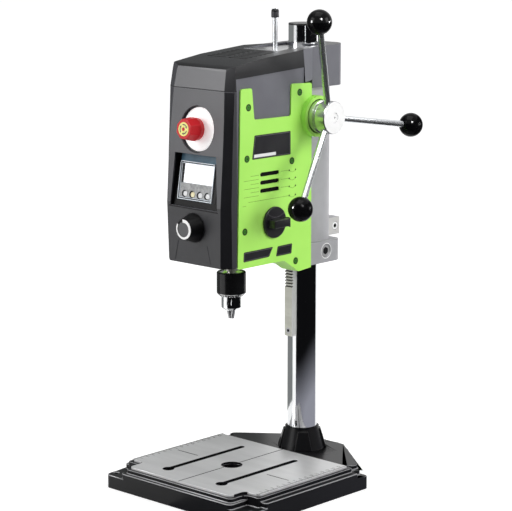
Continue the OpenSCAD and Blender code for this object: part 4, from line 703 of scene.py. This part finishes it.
def ring(name, inner, outer, high, place, start=0, stop=360, vertices=72):
    bpy.ops.object.select_all(action="DESELECT")
    bpy.ops.mesh.primitive_circle_add(vertices=vertices, radius=outer)
    piece = bpy.context.active_object
    piece.name = name
    bpy.ops.object.mode_set(mode="EDIT")
    bpy.ops.mesh.select_all(action="SELECT")
    bpy.ops.mesh.extrude_region_move()
    bpy.ops.transform.resize(value=(inner / outer, inner / outer, 1), center_override=(0, 0, 0))
    if stop - start < 360:
        bpy.ops.mesh.select_mode(type="FACE")
        bpy.ops.mesh.select_all(action="DESELECT")
        mesh = bmesh.from_edit_mesh(piece.data)
        for face in mesh.faces:
            middle = face.calc_center_median()
            turn = (math.degrees(math.atan2(middle.y, middle.x)) - start) % 360
            face.select_set(turn > stop - start)
        bmesh.update_edit_mesh(piece.data)
        bpy.ops.mesh.delete(type="FACE")
        bpy.ops.mesh.select_mode(type="VERT")
    bpy.ops.mesh.select_all(action="SELECT")
    bpy.ops.mesh.extrude_region_move(TRANSFORM_OT_translate={"value": (0, 0, high)})
    bpy.ops.mesh.select_all(action="SELECT")
    bpy.ops.mesh.normals_make_consistent(inside=False)
    bpy.ops.object.mode_set(mode="OBJECT")
    bpy.ops.object.shade_smooth_by_angle(angle=math.radians(32))
    piece.matrix_world = place
    bpy.ops.object.transform_apply(location=True, rotation=True, scale=True)
    return piece


def on_side(y, z, side=1, out=0.0):
    return Matrix(((0, 0, side, side * (cover_face + out)), (side, 0, 0, y), (0, 1, 0, z), (0, 0, 0, 1)))


both_sides = ((1, "right"), (-1, "left"))
screw_places = ((-0.1555, 0.4807), (-0.1582, 0.4203), (-0.0797, 0.4104), (-0.0661, 0.4918), (-0.1619, 0.334),
                (-0.0724, 0.2869))
for side, name in both_sides:
    # Painted shade: a dark green rim round each recess and a darker floor set off centre, so the rim shows
    # wider on one side.
    rims = [ring("rim", 0.0028, 0.0042, 0.0003, on_side(y, z, side, -0.0001)) for y, z in screw_places]
    mount(join(rims, name + "_recess_rims"), "head", rim_shade_green)
    floors = [ring("floor", 0.0014, 0.0030, 0.00012, on_side(y + 0.0003, z - 0.0002, side, -0.00002))
              for y, z in screw_places]
    mount(join(floors, name + "_recess_floors"), "head", recess_shade_green)

# Vent shades
# A black sheet behind each vent is painted shade that makes the vent look dark inside.
vent_shade_black = finish("vent_shade_black", (0.0015, 0.0015, 0.0015), (0.003, 0.003, 0.003), 0.7, grain=2500,
                     peel=0.5, specular=0.1)
vents = (0.3991, 0.3893, 0.3796)
for side, name in both_sides:
    low, high = sorted((side * 0.05102, side * 0.0514))
    vent_shades = [bar("vent_sheet", (low, -0.1357, vent - 0.0024), (high, -0.1018, vent + 0.0024)) for vent in vents]
    mount(join(vent_shades, name + "_vent_shade"), "head", vent_shade_black)

# Cover grooves
# Fine moulded grooves run from the vents to the edges of each cover and end in small dimples, drawn in darker
# green as painted shade.
groove_shade_green = finish("groove_shade_green", (0.07, 0.26, 0.02), (0.11, 0.34, 0.03), 0.45, grain=1200, specular=0.2)
dimple_shade_green = finish("dimple_shade_green", (0.02, 0.09, 0.008), (0.03, 0.12, 0.012), 0.45, grain=1200,
                      specular=0.2)
groove_width = 0.0004
vent_row = ((-0.1520, -0.1378, -0.0002), (-0.1636, -0.1378, -0.0051), (-0.0995, -0.0850, 0.0003))
last_row = ((-0.1560, -0.0850, -0.0002), (-0.1655, -0.1600, -0.0042))
for side, name in both_sides:
    grooves, dimples = [], []
    low, high = sorted((side * 0.05295, side * 0.05304))
    for level, row in ((vents[0], vent_row), (vents[1], vent_row), (vents[2], vent_row), (0.3685, last_row)):
        for front, rear, lift in row:
            foot = level + lift
            grooves.append(bar("groove", (low, front, foot), (high, rear, foot + groove_width)))
        place = on_side(-0.0787, level + 0.0048, side, -0.00005)
        grooves.append(ring("bend", 0.00690, 0.00725, 0.00009, place, 228, 312))
        for y in (-0.0843, -0.0732):
            place = on_side(y, level, side, -0.00004)
            dimples.append(ring("dimple", 0.0001, 0.0011, 0.00009, place, vertices=24))
    mount(join(grooves, name + "_grooves"), "head", groove_shade_green)
    mount(join(dimples, name + "_dimples"), "head", dimple_shade_green)

# Nameplate and labels
# Thin black anodised plates glued to the right cover, the large one with a blank strip to write on.
plate_black = finish("plate_black", (0.012, 0.011, 0.014), (0.018, 0.017, 0.021), 0.4, grain=900, peel=0.05,
                     specular=0.25)
rim_grey = finish("rim_grey", (0.12, 0.12, 0.13), (0.17, 0.17, 0.18), 0.4, grain=900)
write_on = finish("write_on_strip", (0.72, 0.72, 0.73), (0.78, 0.78, 0.79), 0.4, grain=900, peel=0.05)
for name, points in (
    ("nameplate", ((-0.1493, 0.4186), (-0.0823, 0.4184), (-0.0824, 0.4467), (-0.1451, 0.4469))),
    ("front_label", ((-0.1644, 0.2976), (-0.1201, 0.2985), (-0.1131, 0.3096), (-0.1636, 0.3094))),
    ("rear_label", ((-0.1074, 0.2971), (-0.0803, 0.2972), (-0.0789, 0.3094), (-0.1046, 0.3090))),
):
    middle = [sum(c) / 4 for c in zip(*points)]
    for ending, inset, out, high, corner, material in (
        ("_rim", 0.0, -0.0001, 0.00035, 0.0012, plate_black),
        ("_edge_line", 0.0011, 0.0002, 0.00008, 0.0009, rim_grey),
        ("", 0.0015, 0.00024, 0.00008, 0.0008, plate_black),
    ):
        inner = [[m + (c - m) * (1 - inset / max(abs(c - m), 0.004)) for c, m in zip(point, middle)]
                 for point in points]
        layer = face_of(name + ending, inner, on_side(0, 0, 1, out), high, corner)
        mount(layer, "head", material)
strip = face_of("blank_strip", ((-0.1465, 0.4206), (-0.1085, 0.4205), (-0.1085, 0.4242), (-0.1460, 0.4243)),
                on_side(0, 0, 1, 0.0003), 0.00006, 0.0004)
mount(strip, "head", write_on)

# Emergency stop
# Red octagonal mushroom head on a round skirt, over a white steel plate that glows faintly as painted light.
# A printed disc and turning arrows sit on its face.
glowing_plate_white = finish("glowing_plate_white", (0.94, 0.94, 0.94), (0.97, 0.97, 0.97), 0.3, grain=900, peel=0.03)
# Painted light: the plate glows a little.
glowing(glowing_plate_white, (1, 1, 1), 0.3)
dress("stop_plate", "white_stop_plate", 0.0003, 2, glowing_plate_white)
red_plastic = finish("red_plastic", (0.56, 0.010, 0.016), (0.66, 0.014, 0.022), 0.3, grain=900, peel=0.05,
                     specular=0.3)
dress("stop_head", "red_stop_head", 0.0012, 3, red_plastic)
stop_face = (Matrix.Translation((0, -0.189, 0.454)) @ Matrix.Rotation(math.radians(-5.2), 4, "X")
             @ Matrix.Translation((0, -0.0209, 0)) @ Matrix.Rotation(math.radians(90), 4, "X"))
legend_yellow = finish("legend_yellow", (0.86, 0.80, 0.22), (0.92, 0.86, 0.30), 0.35, grain=900, peel=0.03)
legend_dark = finish("legend_dark", (0.05, 0.045, 0.02), (0.08, 0.07, 0.03), 0.4, grain=900)
disc_high = 0.0005
disc = ring("legend_disc", 0.0001, 0.0082, disc_high, stop_face)
soften(disc, 0.00015, 2)
mount(disc, "stop_head", legend_yellow)
disc_top = stop_face @ Matrix.Translation((0, 0, disc_high))
centre = ring("legend_centre", 0.0001, 0.0022, 0.0002, disc_top)
mount(centre, "stop_head", red_plastic)
marks = []
for start in (35, 155, 275):
    marks.append(ring("turn_mark", 0.0048, 0.0061, 0.0001, disc_top, start, start + 70))
    tip = math.radians(start)
    corners = [(r * math.cos(tip + a), r * math.sin(tip + a))
               for r, a in ((0.0038, 0.0), (0.0055, -0.42), (0.0071, 0.0))]
    marks.append(face_of("turn_tip", corners, disc_top, 0.0001))
mount(join(marks, "turn_marks"), "stop_head", legend_dark)

# Display
# Tilted instrument in the shell: dark blue bezel, metal frame, lit white panel and grey keypad.
# Black painted shade lies beside the frame, along the sill below it and in crescents round the keys.
knob_black = finish("knob_black", (0.003, 0.003, 0.0033), (0.005, 0.005, 0.0055), 0.3, grain=1200, peel=0.1,
                    specular=0.14)
dress("display_housing", "display_case", 0.0004, 2, knob_black)
display_face = Matrix.Translation((0, -0.1905, 0.3605)) @ Matrix.Rotation(math.radians(90 - 9), 4, "X")
lit = finish("lit_panel", (0.86, 0.88, 0.90), (0.90, 0.92, 0.94), 0.2, grain=400, peel=0.02)
glowing(lit, (0.95, 0.97, 1), 0.55)
bezel_front = 0.0004
key_offsets = [(count - 1.5) * 0.0124 for count in range(4)]


def rectangle(name, left, bottom, right, top, low, high):
    return face_of(name, ((left, bottom), (right, bottom), (right, top), (left, top)),
                   display_face @ Matrix.Translation((0, 0, low)), high - low)


def drill_keys(piece):
    for along in key_offsets:
        place = display_face @ Matrix.Translation((along, 0.01492, -0.002))
        hole = ring("key_hole", 0.00001, 0.0036, 0.006, place, vertices=40)
        pick(piece)
        cut = piece.modifiers.new("cut", "BOOLEAN")
        cut.operation = "DIFFERENCE"
        cut.solver = "EXACT"
        cut.object = hole
        bpy.ops.object.modifier_apply(modifier=cut.name)
        bpy.data.objects.remove(hole)


bezel = rectangle("tinted_bezel", -0.0315, 0.0076, 0.0275, 0.0625, 0.0, bezel_front)
drill_keys(bezel)
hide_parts("display_window")
lens = finish("display_lens", (0.035, 0.075, 0.11), (0.075, 0.15, 0.21), 0.2, grain=400, peel=0.02, blotch=18,
              specular=0.3)
mount(bezel, "head", lens)
panel = rectangle("lit_panel", -0.0240, 0.0280, 0.0245, 0.0522, bezel_front, 0.0006)
mount(panel, "head", lit)
frame_metal = finish("frame_metal", (0.46, 0.50, 0.54), (0.60, 0.64, 0.68), 0.35, metallic=0.3, grain=700)
shade_black = finish("shade_black", (0.004, 0.004, 0.005), (0.007, 0.007, 0.008), 0.5, grain=700, specular=0.2)
for name, out, width, high, material in (
    ("outer_frame", 0.0, 0.0008, 0.0022, frame_metal),
    ("frame_shadow_gap", 0.0008, 0.0013, 0.0009, shade_black),
    ("inner_frame", 0.0021, 0.0006, 0.0014, frame_metal),
):
    left, bottom, top, right = -0.0305 + out, 0.0080 + out, 0.0536 - out, 0.0262 - out * 0.6
    sides = [rectangle("side", *corners, bezel_front, high) for corners in (
        (left, bottom, left + width, top),
        (right - width, bottom, right, top),
        (left, top - width, right, top),
        (left, bottom, right, bottom + width),
    )]
    mount(join(sides, name), "head", material)
shades = [rectangle("shade", 0.0262, 0.0078, 0.0316, 0.0530, bezel_front, 0.0005),
          rectangle("shade", -0.0284, 0.0280, -0.0240, 0.0515, bezel_front, 0.0005)]
mount(join(shades, "frame_side_shades"), "head", shade_black)
# Painted shade: a thin black line at the recess's lower edge.
sill = face_of("sill_shade_line", ((-0.0415, 0.0660), (0.0400, 0.0652), (0.0400, 0.0666), (-0.0415, 0.0674)),
               front_face, crease_high)
mount(sill, "head", shade_black)
keypad_grey = finish("keypad_grey", (0.27, 0.275, 0.28), (0.44, 0.45, 0.45), 0.5, grain=1100, peel=0.4,
                     blotch=260, specular=0.3)
keypad_front = 0.0008
keypad = rectangle("keypad", -0.0276, 0.0110, 0.0235, 0.0279, bezel_front, keypad_front)
drill_keys(keypad)
mount(keypad, "head", keypad_grey)
# Painted shade: a black crescent on one side of each key.
well_shades = []
for along in key_offsets:
    place = display_face @ Matrix.Translation((along - 0.0011, 0.0150, keypad_front))
    well_shades.append(ring("well_shade", 0.0030, 0.0044, 0.0006, place, 80, 290, 60))
mount(join(well_shades, "key_wells"), "head", shade_black)
key_plastic = finish("key_plastic", (0.74, 0.75, 0.76), (0.82, 0.83, 0.84), 0.35)
key_cream = finish("key_cream", (0.84, 0.76, 0.46), (0.90, 0.82, 0.52), 0.35)
for count, plastic in enumerate((key_plastic, key_cream, key_plastic, key_plastic), 1):
    dress("key_%d" % count, "round_key_%d" % count, 0.0003, 2, plastic)

# Speed knob
# Tapered black knob whose face carries a moulded white ring that thins towards one end.
dress("speed_knob", "tapered_knob", 0.0008, 3, knob_black)
knob_centre = Vector((0, -0.2110, 0.337))
knob_face = Matrix.Translation(knob_centre) @ Matrix.Rotation(math.radians(90), 4, "X")
face_grey = finish("face_grey", (0.075, 0.076, 0.080), (0.095, 0.096, 0.10), 0.45, grain=900, peel=0.1,
                   specular=0.3)
mount(ring("knob_face_disc", 0.0001, 0.0088, 0.0004, knob_face), "speed_knob", face_grey)
white_plastic = finish("white_plastic", (0.93, 0.93, 0.925), (0.96, 0.96, 0.955), 0.3, grain=900, peel=0.05)
thin_end, thick_end = -211, 98
dial_inner, dial_middle, dial_outer = 0.0090, 0.0104, 0.0119
thick_inner, thinning = 0.0080, 0.0022
dial = ring("dial_ring", dial_inner, dial_outer, 0.0005, knob_face, thin_end, thick_end, 96)
for vertex in dial.data.vertices:
    arm = vertex.co - knob_centre
    reach = math.hypot(arm.x, arm.z)
    if reach < dial_middle:
        along = ((thick_end - math.degrees(math.atan2(arm.z, arm.x))) % 360) / (thick_end - thin_end)
        inner = thick_inner + thinning * along
        vertex.co = (arm.x / reach * inner, vertex.co.y, knob_centre.z + arm.z / reach * inner)
mount(dial, "speed_knob", white_plastic)

# Selector
# Black rotary switch on the right cover: a disc with a waisted grip bar, with pale lines along its edges as a
# painted highlight.
grip_plastic = finish("grip_plastic", (0.014, 0.0135, 0.016), (0.021, 0.020, 0.024), 0.3, grain=1200,
                      peel=0.12, specular=0.5)
selector_y, selector_z = -0.1117, 0.3395
selector_at = on_side(selector_y, selector_z)
disc = ring("selector_disc", 0.0001, 0.0190, 0.0032, selector_at @ Matrix.Translation((0, 0, 0.0004)))
round_edges(disc, 0.0009, 3, lambda at: at.x > 0.0564
            and math.hypot(at.y - selector_y, at.z - selector_z) > 0.018)
waist = [(-0.0140, 0.0046), (-0.0100, 0.0050), (0.0020, 0.0050), (0.0080, 0.0045), (0.0115, 0.0048),
         (0.0138, 0.0060)]
grip = face_of("selector_grip", waist[::-1] + [(u, -v) for u, v in waist],
               selector_at @ Matrix.Translation((0, 0, 0.0034)), 0.0117)
round_edges(grip, 0.0007, 3, lambda at: True)
selector = join([disc, grip], "selector_switch_knob")
bpy.ops.object.shade_smooth_by_angle(angle=math.radians(32))
mount(selector, "selector_knob", grip_plastic)
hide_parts("selector_knob")
edge_sheen_plastic = finish("edge_sheen_plastic", (0.07, 0.068, 0.076), (0.10, 0.098, 0.108), 0.35, grain=1200, peel=0.1)
# Painted highlight: a pale line over the disc's shoulder and along both edges of the grip.
shoulder = ring("selector_shoulder_line", 0.0222, 0.0229, 0.0003,
                selector_at @ Matrix.Translation((0.0010, 0.0290, 0.0036)), 232, 303)
mount(shoulder, "selector_knob", edge_sheen_plastic)
grip_top = selector_at @ Matrix.Translation((0, 0, 0.0151))
edges = []
for v in (0.0040, -0.0046):
    corners = ((-0.0136, v), (0.0075, v * 0.93), (0.0075, v * 0.93 + 0.0004), (-0.0136, v + 0.0004))
    edges.append(face_of("edge", corners, grip_top, 0.0001))
mount(join(edges, "grip_edge_lines"), "selector_knob", edge_sheen_plastic)

# Feed hub, levers and ball knobs
# Turned steel hub, three chromed rods screwed into it and glossy black phenolic balls.
# Three small lamps light nothing but the balls.
turned_steel = finish("turned_steel", (0.60, 0.605, 0.61), (0.70, 0.705, 0.71), 0.24, metallic=0.95,
                      grain=400, peel=0.1, stretch=(5, 1, 1))
hub = dress("feed_hub", "turned_hub", 0.0006, 3, turned_steel)
# Painted reflection: the faced end of the hub and the screw in it are painted near white.
white_sheen_face = finish("white_sheen_face", (0.88, 0.88, 0.88), (0.94, 0.94, 0.94), 0.35, metallic=0.1, grain=400,
                   peel=0.05)
hub.data.materials.append(white_sheen_face)
hub_end = 0.0842
for face in hub.data.polygons:
    if face.normal.x > 0.8 and face.center.x > hub_end:
        face.material_index = 1
coat_node("hub_screw", white_sheen_face)
rod_chrome = finish("rod_chrome", (0.68, 0.70, 0.72), (0.74, 0.76, 0.78), 0.27, metallic=0.95, grain=60,
                    peel=0.0, spread=0.02)
coat_node("lever_rods", rod_chrome)
ball_gloss = finish("ball_gloss", (0.002, 0.002, 0.0024), (0.004, 0.004, 0.0045), 0.12, grain=60, peel=0.0,
                    spread=0.01, specular=0.08)
coat_node("lever_balls", ball_gloss)
shiny = bpy.data.collections.new("ball_knobs")
shiny.objects.link(node_of["lever_balls"])
for name, place in (
    ("ball_glint_left", (-0.62, -1.15, 0.68)),
    ("ball_glint_front", (1.02, -0.58, 1.2)),
    ("ball_glint_right", (0.95, 0.95, 0.52)),
):
    lamp = area_lamp(name, place, 0.3, 60, (0.1, -0.06, 0.45))
    lamp.visible_diffuse = False
    lamp.light_linking.receiver_collection = shiny

# Lock, clamp and rack screws
# Bright socket-head screws with sockets painted black as painted shade, the lock screw in a countersunk hole
# with a machined rim that carries a painted highlight.
lock_steel = finish("lock_steel", (0.46, 0.462, 0.468), (0.56, 0.562, 0.568), 0.32, metallic=0.5, grain=700)
for node in ("lock_screw", "clamp_screw", "rack_screws"):
    coat_node(node, lock_steel)
low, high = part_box("rack_screws")
socket_at = (Matrix.Translation(((low[0] + high[0]) / 2, low[1] - 0.0001, low[2] + (high[0] - low[0]) / 2))
             @ Matrix.Rotation(math.radians(90), 4, "X"))
# Painted shade in the hex socket.
socket = ring("rack_screw_socket", 0.0001, 0.0021, 0.0002, socket_at, vertices=6)
mount(socket, node_of["rack_screws"]["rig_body"], shade_black)
lock_at = Matrix(((0, 0, 1, 0.0344), (1, 0, 0, 0), (0, 1, 0, 0.2875), (0, 0, 0, 1)))
collar = ring("lock_screw_collar", 0.0042, 0.0074, 0.0036, lock_at, vertices=36)
soften(collar, 0.0005, 2)
mount(collar, "lock_screw", lock_steel)
# Painted shade filling the lock screw's socket.
socket = ring("lock_screw_socket", 0.0001, 0.0049, 0.0037, lock_at, vertices=6)
mount(socket, "lock_screw", shade_black)
clamp_at = Matrix(((0, 0, 1, 0.0149), (1, 0, 0, 0.0437), (0, 1, 0, 0.311), (0, 0, 0, 1)))
# Painted highlight: a near-white ring on the clamp screw's head, with painted shade in its socket.
collar = ring("clamp_screw_collar", 0.0027, 0.0048, 0.0006, clamp_at, vertices=36)
mount(collar, "clamp_screw", white_sheen_face)
socket = ring("clamp_screw_socket", 0.0001, 0.0027, 0.0003, clamp_at, vertices=6)
mount(socket, "clamp_screw", shade_black)
# Painted highlight on the machined rim of the lock screw's hole.
rim = ring("lock_hole_rim", 0.0090, 0.0098, 0.0002, lock_at @ Matrix.Translation((0, 0, 0.0045)))
mount(rim, "head", white_sheen_face)

# Depth rod and stop
# Bright rod in the feed rack, with a domed black nut on top, ringed for the fingers.
coat_node("depth_rod", rod_chrome)
low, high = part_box("depth_stop")
bpy.ops.object.select_all(action="DESELECT")
bpy.ops.mesh.primitive_cylinder_add(vertices=48, radius=0.0047, depth=high[2] - low[2],
                                    location=[(a + b) / 2 for a, b in zip(low, high)])
nut = bpy.context.active_object
nut.name = "domed_stop"
bpy.ops.object.transform_apply(location=True, rotation=True, scale=True)
round_edges(nut, 0.0034, 6, lambda at: at.z > high[2] - 0.0001)
soften(nut, 0.0004, 2)
seat(nut, "depth_stop", knob_black)
# Painted sheen: the grip rings are a paler grey than the black nut.
grip_rings = []
for count in range(5):
    place = Matrix.Translation(
        ((low[0] + high[0]) / 2, (low[1] + high[1]) / 2, low[2] + 0.0008 + 0.0013 * count))
    grip_rings.append(ring("grip_ring", 0.0044, 0.0048, 0.0005, place, vertices=48))
mount(join(grip_rings, "stop_grip_rings"), "depth_stop", edge_sheen_plastic)

# Chuck
# Keyed chuck: a black sleeve with a ground bevel of teeth below, whose gaps are painted black as painted
# shade, a bright nose with key holes, three jaws.
sleeve_black = finish("sleeve_black", (0.004, 0.004, 0.0045), (0.007, 0.007, 0.008), 0.2, grain=900,
                      peel=0.04, specular=0.3)
bevel_steel = finish("bevel_steel", (0.60, 0.60, 0.60), (0.72, 0.72, 0.72), 0.2, metallic=1.0, grain=900,
                     peel=0.05)
sleeve = dress("chuck_sleeve", "blackened_sleeve", 0.0005, 2, sleeve_black)
sleeve.data.materials.append(bevel_steel)
bevel_top = 0.2489
for face in sleeve.data.polygons:
    if face.center.z < bevel_top:
        face.material_index = 1
chuck_axis = -0.13
gap_count = 26
gap_shape = ((-0.0006, 0), (0.0006, 0), (0.0009, 0.0042), (-0.0009, 0.0042))
# Painted shade: a black strip in each gap between the bevel teeth.
gaps = []
for count in range(gap_count):
    turn = Matrix.Translation((0, chuck_axis, 0)) @ Matrix.Rotation(2 * math.pi * count / gap_count, 4, "Z")
    place = (turn @ Matrix.Translation((0.0138, 0, 0.2452)) @ Matrix.Rotation(math.radians(-90), 4, "Z")
             @ Matrix.Rotation(math.radians(44), 4, "X"))
    gaps.append(face_of("tooth_gap", gap_shape, place, -0.0003))
mount(join(gaps, "chuck_tooth_gaps"), "chuck_sleeve", shade_black)
dress("chuck_body", "chromed_nose", 0.0004, 2, chrome)
jaw_steel = finish("jaw_steel", (0.42, 0.42, 0.43), (0.50, 0.50, 0.51), 0.3, metallic=0.8, grain=900,
                   peel=0.05)
for count in range(1, 4):
    coat_node("chuck_jaw_%d" % count, jaw_steel)

# Inner works
# Motor, gears, bearings, boards and springs, mostly hidden by the covers.
board_lacquer = finish("board_lacquer", (0.012, 0.08, 0.03), (0.02, 0.1, 0.04), 0.3)
motor_paint = finish("motor_paint", (0.03, 0.031, 0.034), (0.04, 0.041, 0.045), 0.4)
bronze = finish("bearing_bronze", (0.36, 0.23, 0.09), (0.42, 0.28, 0.12), 0.4, metallic=0.9)
blued_steel = finish("blued_steel", (0.03, 0.045, 0.09), (0.05, 0.07, 0.13), 0.3, metallic=0.9)
for nodes, material in (
    (("display_board", "control_board"), board_lacquer),
    (("motor",), motor_paint),
    (("feed_bushes", "guide_bushes"), bronze),
    (("return_spring",), blued_steel),
    (("stop_contact_block", "speed_dial_body", "selector_switch", "cable_gland", "stop_stem"),
     black_plastic),
    (("feed_rack", "spindle", "spindle_gear", "motor_pinion", "feed_shaft", "elevation_pinion",
      "lower_bearing", "upper_bearing"), milled_steel),
    (("guide_rods",), chrome),
):
    for node in nodes:
        coat_node(node, material)
